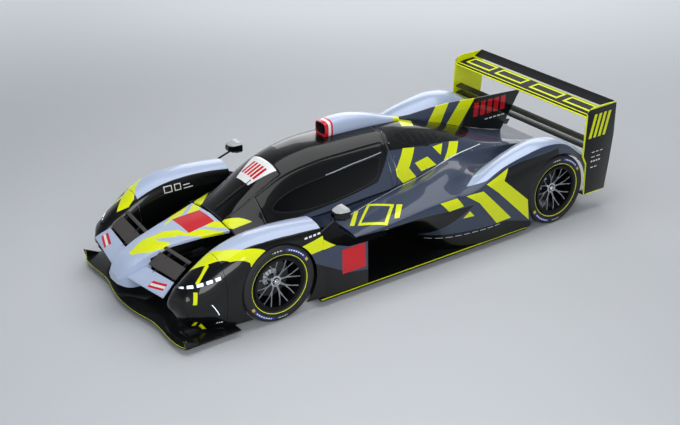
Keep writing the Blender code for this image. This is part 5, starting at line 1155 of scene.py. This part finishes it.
# Printed on the side wall, twice round. Columns: half height, middle angle, half angle, dashed, colour
WALL_PRINT = (
    (BAND_W / 2, 56, 21, False, BAND_BLUE),
    (BAND_W / 5, 56, 16, True, STRIPE_WHITE),
    (BAND_W / 5, 92, 9, True, "#C9CBCC"),
    (BAND_W / 2, 31, 3, False, "#C9B44A"),
)
DASH_PITCH, DASH_LENGTH = math.radians(5.0), math.radians(3.4)
SCUFF_MM, RUBBER_GRAIN_MM = 71.43, 2.5


def wheel_rubber(name, hub_y):
    """Slick rubber: matt black with a faint scuffed sheen, and printed bands by radius and angle."""
    made, tree, shader = new_material(name, Roughness=0.62)
    place = add_node(tree, "TexCoord", out="Object")
    turned = add_node(tree, "Mapping", {"Vector": place, "Location": (0.0, -hub_y, -HUB_Z)})
    split = add_node(tree, "SeparateXYZ", (turned,), out=None)
    flat = add_node(tree, "CombineXYZ", {"X": split["Y"], "Y": split["Z"], "Z": 0.0})
    radius = add_node(tree, "VectorMath", (flat,), out="Value", operation="LENGTH")
    angle = add_node(tree, "Math", (split["Z"], split["Y"]), operation="ARCTAN2")
    scuffs = add_node(tree, "TexNoise", {"Vector": place, "Scale": 1000 / SCUFF_MM, "Detail": 4.0})
    colour = add_node(tree, "Mix", {"Factor": scuffs, 6: hex_colour("#111112"), 7: hex_colour("#1D1D1F")},
                      out=2, data_type="RGBA")

    def within(value, middle, half):
        away = add_node(tree, "Math", (value, middle), operation="SUBTRACT")
        away = add_node(tree, "Math", (away,), operation="ABSOLUTE")
        return add_node(tree, "Math", (away, half), operation="LESS_THAN")

    ring = within(radius, RING_R, RING_W / 2)
    colour = add_node(tree, "Mix", {"Factor": ring, 6: colour, 7: hex_colour(ACID_YELLOW)}, out=2,
                      data_type="RGBA")
    around = add_node(tree, "Math", (angle, math.pi), operation="MODULO")
    around = add_node(tree, "Math", (around, math.pi), operation="ADD")
    around = add_node(tree, "Math", (around, math.pi), operation="MODULO")
    dashes = add_node(tree, "Math", (around, DASH_PITCH), operation="MODULO")
    dashes = add_node(tree, "Math", (dashes, DASH_LENGTH), operation="LESS_THAN")
    for half, middle, spread, dashed, paint in WALL_PRINT:
        high, wide = within(radius, BAND_R, half), within(around, math.radians(middle), math.radians(spread))
        mask = add_node(tree, "Math", (high, wide), operation="MULTIPLY")
        if dashed:
            mask = add_node(tree, "Math", (mask, dashes), operation="MULTIPLY")
        colour = add_node(tree, "Mix", {"Factor": mask, 6: colour, 7: hex_colour(paint)}, out=2,
                          data_type="RGBA")
    tree.links.new(colour, shader.inputs["Base Color"])
    grain = add_node(tree, "TexNoise", {"Vector": place, "Scale": 1000 / RUBBER_GRAIN_MM, "Detail": 2.0})
    bump = add_node(tree, "Bump", {"Height": grain, "Strength": 0.15, "Distance": 0.0006})
    tree.links.new(bump, shader.inputs["Normal"])
    return made


def spun(name, profile, centre, side, material, closed=True, smooth=35.0):
    """A profile of (x, radius) spun once round the axle."""
    bm = bmesh.new()
    verts = [bm.verts.new((centre[0] + side * x, centre[1], centre[2] + radius)) for x, radius in profile]
    pairs = list(zip(verts, verts[1:] + verts[:1]))
    edges = [bm.edges.new(pair) for pair in (pairs if closed else pairs[:-1])]
    bmesh.ops.spin(bm, geom=verts + edges, cent=centre, axis=(1, 0, 0), angle=math.tau, steps=WHEEL_STEPS,
                   use_merge=True, use_duplicate=False)
    bmesh.ops.remove_doubles(bm, verts=bm.verts, dist=0.00002)
    bmesh.ops.recalc_face_normals(bm, faces=bm.faces)
    return add_piece(name, bm, material, smooth)


def wheel_places():
    """Each wheel's name, side, hub centre and tyre width."""
    for end, x, y, width in (("front", FRONT_WHEEL_X, FRONT_AXLE_Y, TYRE_FRONT_W),
                             ("rear", REAR_WHEEL_X, REAR_AXLE_Y, TYRE_REAR_W)):
        for hand, side in SIDES:
            yield end + "_" + hand, side, Vector((side * x, y, HUB_Z)), width


rubbers = {"front": wheel_rubber("slick_tyre_rubber_front", FRONT_AXLE_Y),
           "rear": wheel_rubber("slick_tyre_rubber_rear", REAR_AXLE_Y)}
for name, side, centre, width in wheel_places():
    half = width / 2
    wall = [Vector(point) for point in TYRE_WALL]
    marks = [0.0]
    for near, far in zip(wall, wall[1:]):
        marks.append(marks[-1] + (far - near).length)
    fine = [smooth_line(marks, wall, marks[-1] * mark / 24) for mark in range(25)]
    liner = [Vector(point) for point in TYRE_LINER]
    profile = [(half - point.x, point.y) for point in fine]
    profile += [(point.x - half, point.y) for point in reversed(fine)]
    profile += [(point.x - half, point.y) for point in reversed(liner)]
    profile += [(half - point.x, point.y) for point in liner]
    tyre = spun("tyre_slick_" + name, profile, centre, side, rubbers[name.split("_")[0]])
    dress(tyre, "tyre_rubber", "tyre_" + name, body="wheel_" + name)


# Wheels: forged magnesium with eight forked spokes, machined and anodised dark.
# A single centre nut holds each; a ventilated carbon disc sits behind it.

SPOKE_COUNT = 8
SPOKE_T = 0.014
SPOKE_DISH = 0.045
RIM_INSET, BEAD_INSET, FACE_INSET = 0.006, 0.022, 0.020
FORGING_GRAIN_MM = 33.33
DISC_RING_MM = 5.236
# A wave texture of scale 1 repeats at this part of a metre
WAVE_PERIOD = math.tau / 20


def two_tone(finish, kind, spacing_mm, dark, light, bump=0.0, values=None, **settings):
    """Colours a new material in two tones by a noise or a wave of a real spacing, with bump if asked."""
    made, tree, shader = finish
    scale = 1000 / spacing_mm * (WAVE_PERIOD if kind == "TexWave" else 1.0)
    place = add_node(tree, "TexCoord", out="Object")
    pattern = add_node(tree, kind, {"Vector": place, "Scale": scale, **(values or {})}, **settings)
    tones = add_node(tree, "Mix", {"Factor": pattern, 6: hex_colour(dark), 7: hex_colour(light)}, out=2,
                     data_type="RGBA")
    tree.links.new(tones, shader.inputs["Base Color"])
    if bump:
        relief = add_node(tree, "Bump", {"Height": pattern, "Strength": bump, "Distance": 0.001})
        tree.links.new(relief, shader.inputs["Normal"])
    return made


# Forging, anodised: a grey metal with soft reflections; turned aluminium: bright; carbon disc: dark, ringed
forged = two_tone(new_material("dark_anodised_forging", Metallic=1.0, Roughness=0.24), "TexNoise",
                  FORGING_GRAIN_MM, "#8C8F94", "#A6A9AE", values={"Detail": 2.0})
barrel_metal, _, _ = new_material("black_anodised_barrel", Base_Color=hex_colour("#1A1B1D"), Metallic=0.8,
                                  Roughness=0.35)
nut_metal, _, _ = new_material("machined_aluminium_nut", Base_Color=hex_colour("#C9CBCE"), Metallic=1.0,
                               Roughness=0.2)
disc_carbon = two_tone(new_material("carbon_brake_disc", Metallic=0.2, Roughness=0.45), "TexWave",
                       DISC_RING_MM, "#2A2A2C", "#3A3A3D", values={"Distortion": 0.5}, wave_type="RINGS",
                       rings_direction="X")


def forked_spokes(name, centre, side, face, deep, material):
    """Eight stems that each fork into two arms, in one star with bevelled edges."""
    bm = bmesh.new()
    turn = 360 / SPOKE_COUNT
    fork = deep + (face - deep) * 0.42
    between = (fork + face) / 2
    tip = turn / 4
    # Columns: radius, angle from the stem's middle, depth of the front face
    plan = ((0.046, -13.0, deep), (0.092, -4.6, fork - 0.004), (0.150, -8.2, between),
            (0.219, -tip - 1.6, face), (0.219, -tip + 1.6, face), (0.150, -4.9, between), (0.116, 0.0, fork),
            (0.150, 4.9, between), (0.219, tip - 1.6, face), (0.219, tip + 1.6, face), (0.150, 8.2, between),
            (0.092, 4.6, fork - 0.004), (0.046, 13.0, deep))
    groups = ((0, 1, 11, 12), (1, 6, 11), (1, 2, 5, 6), (2, 3, 4, 5), (6, 7, 10, 11), (7, 8, 9, 10))
    for mark in range(SPOKE_COUNT):
        verts = []
        for radius, degrees, depth in plan:
            angle = math.radians(turn * mark + turn / 4 + degrees)
            verts.append(bm.verts.new((centre.x + side * depth, centre.y + radius * math.cos(angle),
                                       centre.z + radius * math.sin(angle))))
        for group in groups:
            bm.faces.new([verts[index] for index in group])
    bmesh.ops.solidify(bm, geom=bm.faces[:], thickness=SPOKE_T * (-1 if side > 0 else 1))
    bmesh.ops.recalc_face_normals(bm, faces=bm.faces)
    edges = [edge for edge in bm.edges if edge.is_manifold and edge.calc_face_angle() > math.radians(50)]
    bmesh.ops.bevel(bm, geom=edges, offset=0.0022, segments=2, profile=0.5, affect="EDGES", material=-1)
    return add_piece(name, bm, material, 40.0)


for name, side, centre, width in wheel_places():
    body = "wheel_" + name
    half = width / 2 - RIM_INSET
    seat = width / 2 - BEAD_INSET
    face = half - FACE_INSET
    deep = face - SPOKE_DISH
    flange = ((half - 0.001, 0.2445), (half - 0.004, 0.2460), (seat, 0.2460), (seat, 0.2378),
              (seat - 0.045, 0.2260))
    inner = ((half - 0.006, 0.2160), (half - 0.001, 0.2300))
    profile = list(flange) + [(-x, radius) for x, radius in reversed(flange)]
    profile += [(-x, radius) for x, radius in reversed(inner)] + list(inner)
    barrel = spun("rim_barrel_" + name, profile, centre, side, barrel_metal)
    dress(barrel, "dark_forged_rim", "rim_" + name, body=body)
    dress(forked_spokes("rim_spokes_" + name, centre, side, face, deep, forged), "dark_forged_rim", body=body)
    nut = spun("centre_nut_" + name, ((deep - 0.020, 0.0005), (deep - 0.020, 0.050), (deep + 0.002, 0.050),
                                      (deep + 0.004, 0.036), (deep + 0.010, 0.034), (deep + 0.024, 0.029),
                                      (deep + 0.028, 0.024), (deep + 0.026, 0.016), (deep + 0.018, 0.014),
                                      (deep + 0.018, 0.0005)), centre, side, nut_metal, closed=False)
    dress(nut, "dark_forged_rim", body=body)
    disc = spun("brake_disc_" + name, ((-0.034, 0.080), (-0.034, 0.168), (-0.032, 0.170), (-0.007, 0.170),
                                       (-0.005, 0.168), (-0.005, 0.080)), centre, side, disc_carbon)
    dress(disc, "dark_forged_rim", body=body)
    bell = spun("disc_bell_" + name, ((-0.036, 0.052), (-0.036, 0.084), (-0.003, 0.084), (0.010, 0.050),
                                      (deep - 0.019, 0.046), (deep - 0.019, 0.040), (0.004, 0.042)),
                centre, side, nut_metal)
    dress(bell, "dark_forged_rim", body=body)


# Splitter, floor and diffuser: flat carbon sandwich plates close to the ground.
# The splitter's lip is curved, with upturned tips and a yellow pinstripe along its edge.

FLOOR_Z = 0.055
SPLITTER_TOP = 0.069
SPLITTER_EDGE = ((0.000, -2.415), (0.150, -2.408), (0.290, -2.385), (0.450, -2.352), (0.600, -2.350),
                 (0.800, -2.360), (0.925, -2.350), (1.000, -2.318))
FENCE = ((-2.318, 0.057), (-2.338, 0.144), (-2.188, 0.069), (-2.188, 0.057))
FENCE_X = (0.988, 1.0)
PINSTRIPE = (0.0015, 0.006)


def refinish(node, finish, radius=0.0, segments=2, degrees=30.0):
    """Gives a CAD node its finish, and rounds its edges where a radius is given."""
    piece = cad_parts[node]
    piece.data.materials.clear()
    piece.data.materials.append(finish)
    if radius:
        rim = piece.modifiers.new("rounded_edges", "BEVEL")
        rim.width, rim.segments = radius, segments
        rim.limit_method, rim.angle_limit = "ANGLE", math.radians(degrees)
    return piece


knots = [point[0] for point in SPLITTER_EDGE]
edge_points = [(smooth_line(knots, [point[1] for point in SPLITTER_EDGE], x), x) for x in steps(knots, 0.05)]
front_edge = [(-x, y) for y, x in reversed(edge_points[1:])] + [(x, y) for y, x in edge_points]
splitter_outline = front_edge + [(1.0, -1.805), (0.600, -1.805), (0.600, -1.2803), (-0.600, -1.2803),
                                 (-0.600, -1.805), (-1.0, -1.805)]
pinstripes = []
for (near_y, near_x), (far_y, far_x) in zip(edge_points, edge_points[1:]):
    front, back = PINSTRIPE
    pinstripes.append(((near_x, near_y + front), (far_x, far_y + front), (far_x, far_y + back),
                       (near_x, near_y + back)))
lip_paint = painted("satin_lacquer_on_splitter", CARBON_BLACK, ((ACID_YELLOW, "plan", *pinstripes),),
                    rough=0.4)
splitter = plate("splitter_plate", splitter_outline, "z", FLOOR_Z, SPLITTER_TOP, lip_paint, rounding=0.003)
dress(splitter, "carbon_laminate", "splitter")
for name, side in SIDES:
    fence = plate("splitter_fence_" + name, FENCE, "x", side * FENCE_X[0], side * FENCE_X[1], lip_paint,
                  rounding=0.002)
    dress(fence, "carbon_laminate")

floor_paint = painted("satin_black_lacquer_on_floor", CARBON_BLACK, (
    (ACID_YELLOW, "front", ((0.990, 0.0695), (1.010, 0.0695), (1.010, 0.0740), (0.990, 0.0740))),
), rough=0.4, coat=0.4)
tub_paint = painted("satin_lacquer_on_tub", CARBON_BLACK, (
    (SLATE, "flank", ((-0.930, 0.500), (-0.930, 0.700), (0.200, 0.700), (0.200, 0.560), (-0.600, 0.500))),
), rough=0.4, coat=0.5, flank_from=0.500)
for node, finish in (("floor", floor_paint), ("diffuser", satin_carbon), ("monocoque", tub_paint)):
    refinish(node, finish)


# Running gear: cast magnesium uprights and fabricated steel wishbones, and the cast
# gearbox that carries the rear ones. They stay as the frame has them, with their finish.

CASTING_GRIT_MM = 4.545
# Sand casting: dull grey metal with a fine rough grain
cast_alloy = two_tone(new_material("sand_cast_magnesium", Metallic=0.7, Roughness=0.5), "TexNoise",
                      CASTING_GRIT_MM, "#3A3C3E", "#55585B", bump=0.3, values={"Detail": 3.0})
refinish("engine", cast_alloy)
for name, _ in SIDES:
    for node in ("upright_front_", "front_suspension_", "rear_suspension_"):
        refinish(node + name, cast_alloy)


# Roof scoop: the engine's air intake with its duct, one carbon moulding on the roof.
# Pale blue lacquer, its mouth ringed in red with a white band.

# Columns: y, half width, foot's height, crown's height
SCOOP = ((-0.320, 0.085, 1.105, 1.250), (-0.180, 0.088, 1.100, 1.2665), (0.160, 0.085, 1.090, 1.226),
         (0.430, 0.060, 1.065, 1.135), (0.560, 0.030, 1.040, 1.092))
SCOOP_SIDES = 32
# The duct's inside from its back wall to the mouth. Columns: y, distance in from the outside
THROAT = ((0.10, 0.035), (-0.10, 0.018), (-0.30, 0.013), (-0.318, 0.010))
THROAT_FLOOR_Z = 1.128
scoop_paint = painted("pale_blue_lacquer_on_scoop", PALE_BLUE, (
    (SIGNAL_RED, "side", ((-0.40, 1.00), (-0.238, 1.00), (-0.238, 1.30), (-0.40, 1.30))),
    (STRIPE_WHITE, "side", ((-0.285, 1.00), (-0.258, 1.00), (-0.258, 1.30), (-0.285, 1.30))),
    (ACID_YELLOW, "side", ((0.500, 1.0), (0.60, 1.0), (0.60, 1.3), (0.430, 1.3))),
))


def scoop_ring(y, inset=0.0, mouth=False):
    """The duct's rounded-rectangle section."""
    knots = [line[0] for line in SCOOP]
    half, low, high = (smooth_line(knots, [line[column] for line in SCOOP], y) for column in (1, 2, 3))
    half, high = half - inset, high - inset
    low = max(low, THROAT_FLOOR_Z) + inset if mouth else low
    ring = []
    for mark in range(SCOOP_SIDES):
        turn = math.tau * mark / SCOOP_SIDES
        across = math.copysign(abs(math.cos(turn)) ** 0.5, math.cos(turn))
        up = math.copysign(abs(math.sin(turn)) ** 0.6, math.sin(turn))
        ring.append((half * across, y, (low + high) / 2 + (high - low) / 2 * up))
    return ring


throat = [scoop_ring(y, inset, True) for y, inset in THROAT]
outside = [scoop_ring(y) for y in steps((-0.320, 0.560), 0.04)]
scoop = loft("roof_scoop_duct", throat + outside, scoop_paint)
scoop.data.materials.append(satin_carbon)
for face in scoop.data.polygons:
    middle = Vector((0, 0, 1.165))
    outwards = Vector(face.center) - middle
    outwards.y = 0
    facing_in = face.normal.dot(outwards) < 0
    back_wall = face.normal.y < -0.9 and face.center.y > -0.2
    if face.center.y < 0.11 and (facing_in and abs(face.normal.y) < 0.9 or back_wall):
        face.material_index = 1
dress(scoop, "pale_blue_paint", "roof_scoop")


# Fin: a thin sandwich blade along the spine, bonded to the engine cover.
# Slate with two acid yellow diagonals, black behind with plain red bars.

# Outline in side view, columns: y, z
FIN_TOP = ((0.575, 1.089), (0.700, 1.081), (0.960, 1.092), (1.225, 1.090), (1.520, 1.062), (2.0895, 1.027),
           (2.0895, 1.0192), (2.120, 1.0130))
FIN_FOOT = (1.880, 1.620, 1.360, 1.100, 0.800)
FIN_T = 0.012
fin_paint = painted("slate_lacquer_on_fin", SLATE, (
    (JET_BLACK, "side", ((1.500, 1.20), (1.330, 0.70), (2.20, 0.60), (2.20, 1.20))),
    (ACID_YELLOW, "side", ((0.930, 0.950), (1.026, 1.100), (1.189, 1.100), (1.060, 0.850))),
    (ACID_YELLOW, "side", ((1.120, 0.820), (1.365, 1.120), (1.560, 1.120), (1.300, 0.780))),
    (SIGNAL_RED, "side", *slanted_bars(1.505, 0.088, 0.060, 0.862, 1.010, 0.012, 5)),
    (STRIPE_WHITE, "side", *slanted_bars(1.66, 0.055, 0.040, 0.800, 0.812, 0.0, 5)),
), metallic=0.2)
fin_foot = [(y, surface(CABIN, y, 0.0, True).z + 0.0008) for y in FIN_FOOT]
fin_front = (FIN_TOP[0][0], surface(CABIN, FIN_TOP[0][0], 0.0, True).z + 0.0008)
fin = plate("fin_blade", list(FIN_TOP) + fin_foot + [fin_front], "x", -FIN_T / 2, FIN_T / 2, fin_paint,
            rounding=0.003)
dress(fin, "pale_blue_paint", "shark_fin")


# Rear wing: a main plane and a slotted flap between two end plates, with two slats below.
# Black carbon with acid yellow edges and frames; the end plates are yellow inside.

WING_LE_Y, WING_Z = 2.090, 1.020
WING_HALF_W = 0.988
ENDPLATE_T = 0.011
# Sections from the leading edge. Columns: y, z
MAIN_CHORD = ((0.000, 0.000), (0.040, 0.022), (0.120, 0.034), (0.220, 0.040), (0.270, 0.042),
              (0.220, 0.022), (0.120, 0.008), (0.030, -0.006))
FLAP_CHORD = ((0.262, 0.050), (0.285, 0.062), (0.330, 0.082), (0.372, 0.112), (0.332, 0.074), (0.285, 0.050))
ENDPLATE = ((2.475, 1.115), (2.200, 1.122), (2.140, 1.112), (2.100, 1.080), (2.083, 1.040), (2.064, 0.620),
            (2.112, 0.536), (2.114, 0.210), (2.395, 0.210), (2.434, 0.468), (2.471, 0.777))
# The slats below. Columns: leading edge's y and z, chord, rise
BEAM_SLATS = ((2.095, 0.700, 0.085, 0.018), (2.090, 0.775, 0.080, 0.022))

wing_paint = painted("satin_black_lacquer_on_wing", CARBON_BLACK, (
    (ACID_YELLOW, "plan", ((0.0, 2.098), (0.99, 2.098), (0.99, 2.108), (0.0, 2.108)),
     ((0.0, 2.128), (0.99, 2.128), (0.99, 2.140), (0.0, 2.140)),
     ((0.0, 2.335), (0.99, 2.335), (0.99, 2.349), (0.0, 2.349)),
     *frame_strips(0.55, 0.93, 2.185, 2.325, 0.026), *frame_strips(0.06, 0.47, 2.185, 2.325, 0.026)),
), rough=0.55, coat=0.12)
plate_paint = painted("black_lacquer_on_end_plate", JET_BLACK, (
    (ACID_YELLOW, "side", ((2.050, 1.13), (2.097, 1.050), (2.076, 0.620), (2.060, 0.60)),
     ((2.060, 0.630), (2.076, 0.630), (2.124, 0.540), (2.110, 0.530)),
     ((2.108, 0.540), (2.120, 0.540), (2.122, 0.20), (2.108, 0.20)),
     ((2.125, 1.102), (2.140, 1.130), (2.480, 1.130), (2.480, 1.108))),
    (ACID_YELLOW, "side", *slanted_bars(2.125, 0.062, 0.036, 0.800, 1.040, 0.065, 4)),
    (STRIPE_WHITE, "side", *slanted_bars(2.185, 0.055, 0.036, 0.640, 0.648, 0.004, 3),
     *slanted_bars(2.180, 0.070, 0.050, 0.590, 0.598, 0.004, 2),
     *slanted_bars(2.180, 0.034, 0.022, 0.540, 0.556, 0.004, 4),
     *slanted_bars(2.180, 0.050, 0.034, 0.480, 0.490, 0.004, 2)),
))
# The winglet at each end plate's foot. Columns: distance in from the car's side, y
WINGLET = ((0.000, 2.150), (0.000, 2.330), (0.012, 2.400), (0.040, 2.450), (0.140, 2.445), (0.130, 2.116),
           (0.020, 2.116))
WINGLET_Z, WINGLET_T = 0.203, 0.010
winglet_paint = painted("black_lacquer_on_winglet", JET_BLACK, (
    (ACID_YELLOW, "plan", ((0.990, 2.10), (1.01, 2.10), (1.01, 2.335), (0.990, 2.330)),
     ((0.990, 2.330), (1.01, 2.335), (0.990, 2.420), (0.976, 2.400)),
     ((0.976, 2.400), (0.990, 2.420), (0.960, 2.470), (0.950, 2.442))),
))
yellow_paint = painted("acid_yellow_lacquer", ACID_YELLOW)
for name, chord, nodes in (("plane", MAIN_CHORD, ("rear_wing",)), ("flap", FLAP_CHORD, ())):
    outline = [(WING_LE_Y + y, WING_Z + z) for y, z in rounded(list(chord), 0.25, 1)]
    element = plate("rear_wing_" + name, outline, "x", -WING_HALF_W, WING_HALF_W, wing_paint)
    dress(element, "gloss_black_paint", *nodes)
for mark, (y, z, chord, rise) in enumerate(BEAM_SLATS):
    outline = ((y, z), (y + chord * 0.25, z + 0.008 + rise * 0.25), (y + chord, z + rise + 0.003),
               (y + chord, z + rise), (y + chord * 0.4, z - 0.003 + rise * 0.3))
    slat = plate("beam_slat_%d" % mark, outline, "x", -WING_HALF_W, WING_HALF_W, satin_carbon)
    dress(slat, "carbon_laminate")
for name, side in SIDES:
    outer = plate("end_plate_" + name, ENDPLATE, "x", side * (WING_HALF_W + 0.002),
                  side * (WING_HALF_W + ENDPLATE_T), plate_paint, rounding=0.002)
    dress(outer, "gloss_black_paint")
    lining = plate("end_plate_lining_" + name, ENDPLATE, "x", side * WING_HALF_W,
                   side * (WING_HALF_W + 0.0018), yellow_paint)
    dress(lining, "pale_blue_paint")
    winglet = plate("winglet_" + name, [(side * (1.0 - inset), y) for inset, y in WINGLET], "z", WINGLET_Z,
                    WINGLET_Z + WINGLET_T, winglet_paint, rounding=0.002)
    dress(winglet, "carbon_laminate")


# Door mirrors: black moulded pods on round stalks, pale grey on top, with a glass let in behind.
# The stalk is glued into the fender's rear edge.

MIRROR_X, MIRROR_Y, MIRROR_Z = 0.915, -0.730, 0.800
GLASS_SET = (0.0495, 0.0520)
GLASS_PANE = ((-0.070, -0.044), (0.070, -0.044), (0.076, -0.026), (0.076, 0.026), (0.064, 0.044),
              (-0.064, 0.044), (-0.076, 0.026), (-0.076, -0.026))
mirror_paint = painted("black_lacquer_on_mirror", JET_BLACK, (
    ("#B0B3B5", "side", ((-0.84, 0.826), (-0.60, 0.838), (-0.60, 0.90), (-0.84, 0.90))),
))
# Silvered glass: a clean mirror
mirror_glass, _, _ = new_material("silvered_mirror_glass", Base_Color=hex_colour("#DCE3E8"), Metallic=1.0,
                                  Roughness=0.03)
for name, side in SIDES:
    refinish("mirror_" + name, mirror_paint, 0.006, 3, 25.0).data.shade_smooth()
    pane = plate("mirror_glass_" + name, [(side * MIRROR_X + x, MIRROR_Z + z) for x, z in GLASS_PANE], "y",
                 MIRROR_Y + GLASS_SET[0], MIRROR_Y + GLASS_SET[1], mirror_glass)
    dress(pane, "dark_forged_rim")


# Tail lamps and rain lamp: slim strips of red lens over a row of light sources.
# The lenses are moulded acrylic, clipped into the tail panel and onto the crash box.

LENS_RIB_MM = 3.491
# Ribbed acrylic: deep red with a hard gloss and a faint glow
red_lens = two_tone(
    new_material("red_ribbed_acrylic_lens", Roughness=0.15, Coat_Weight=0.8, Coat_Roughness=0.03,
                 Emission_Color=hex_colour("#FF1A14"), Emission_Strength=0.25),
    "TexWave", LENS_RIB_MM, "#8E0A0C", "#D01A1C", wave_type="BANDS", bands_direction="X")
for node in ("tail_lamp_left", "tail_lamp_right", "rain_lamp"):
    refinish(node, red_lens, 0.002)


# Cockpit: a carbon seat shell with suede-covered foam pads and red harness straps on the car's
# right, and a flat steering wheel with suede grips, a small display and plain buttons.

SEAT_X = -0.170
WHEEL_PLACE = (SEAT_X, -0.560, 0.560)
WHEEL_TILT = math.radians(22)
PADS = (
    ("seat_base_pad", ((-0.540, 0.1925), (-0.200, 0.1570), (-0.196, 0.186), (-0.536, 0.222))),
    ("seat_lumbar_pad", ((-0.166, 0.1665), (-0.002, 0.2945), (-0.022, 0.318), (-0.188, 0.190))),
    ("seat_back_pad", ((0.0145, 0.328), (0.0795, 0.690), (0.050, 0.696), (-0.015, 0.333))),
)
STRAP = ((0.047, 0.706), (-0.017, 0.336), (-0.100, 0.262), (-0.200, 0.199), (-0.202, 0.202), (-0.102, 0.265),
         (-0.020, 0.338), (0.044, 0.706))
NAP_MM, WEB_RIDGE_MM = 2.857, 1.9635
DISPLAY_SIZE = (0.085, 0.004, 0.048)
DISPLAY_SET = (0, 0.0165, 0.010)
BUTTON_X, BUTTON_R, BUTTON_H = 0.042, 0.0058, 0.005
PAD_HALF, STRAP_X, STRAP_HALF = 0.128, 0.070, 0.023
BUCKLE_SPOT, BUCKLE_R, BUCKLE_H = (SEAT_X, -0.215, 0.206), 0.026, 0.014

# Suede over foam: soft charcoal without shine; webbing: dull red with fine ridges
suede = two_tone(new_material("charcoal_suede_over_foam", Roughness=0.85, Sheen_Weight=0.4), "TexNoise",
                 NAP_MM, "#1D1E20", "#34363A", values={"Detail": 3.0})
webbing = two_tone(new_material("red_woven_harness", Roughness=0.7), "TexWave", WEB_RIDGE_MM, "#9C1219",
                   "#C4202A", wave_type="BANDS", bands_direction="Z")
# Display glass: near black and glossy; buttons: plain yellow rubber
display_glass, _, _ = new_material("dark_display_glass", Base_Color=hex_colour("#0B1013"), Roughness=0.08)
button_rubber, _, _ = new_material("plain_coloured_buttons", Base_Color=hex_colour("#C8B51E"), Roughness=0.45)

refinish("seat", satin_carbon, 0.006, 2, 35.0)
for name, outline in PADS:
    pad = soften(plate(name, outline, "x", SEAT_X - PAD_HALF, SEAT_X + PAD_HALF, suede), 0.009)
    dress(pad, "seat_cover")
for name, side in SIDES:
    x = SEAT_X + side * STRAP_X
    dress(plate("harness_strap_" + name, STRAP, "x", x - STRAP_HALF, x + STRAP_HALF, webbing), "seat_cover")
buckle = knob("harness_buckle", BUCKLE_SPOT, (0, -0.5, 1), BUCKLE_R, BUCKLE_H, nut_metal)
dress(buckle, "dark_forged_rim")

refinish("steering_wheel", suede, 0.005, 3, 35.0)
turned = Matrix.Translation(WHEEL_PLACE) @ Matrix.Rotation(WHEEL_TILT, 4, "X")
screen_bm = bmesh.new()
display_place = turned @ Matrix.Translation(DISPLAY_SET) @ Matrix.Diagonal((*DISPLAY_SIZE, 1.0))
bmesh.ops.create_cube(screen_bm, size=1.0, matrix=display_place)
dress(add_piece("wheel_display", screen_bm, display_glass), "gloss_black_paint", body="steering_wheel")
for mark in range(6):
    spot = turned @ Vector(((-BUTTON_X, BUTTON_X)[mark % 2], DISPLAY_SET[1], -0.026 - 0.016 * (mark // 2)))
    button = knob("wheel_button_%d" % mark, spot, turned.to_3x3() @ Vector((0, 1, 0)), BUTTON_R, BUTTON_H,
                  button_rubber)
    dress(button, "gloss_black_paint", body="steering_wheel")
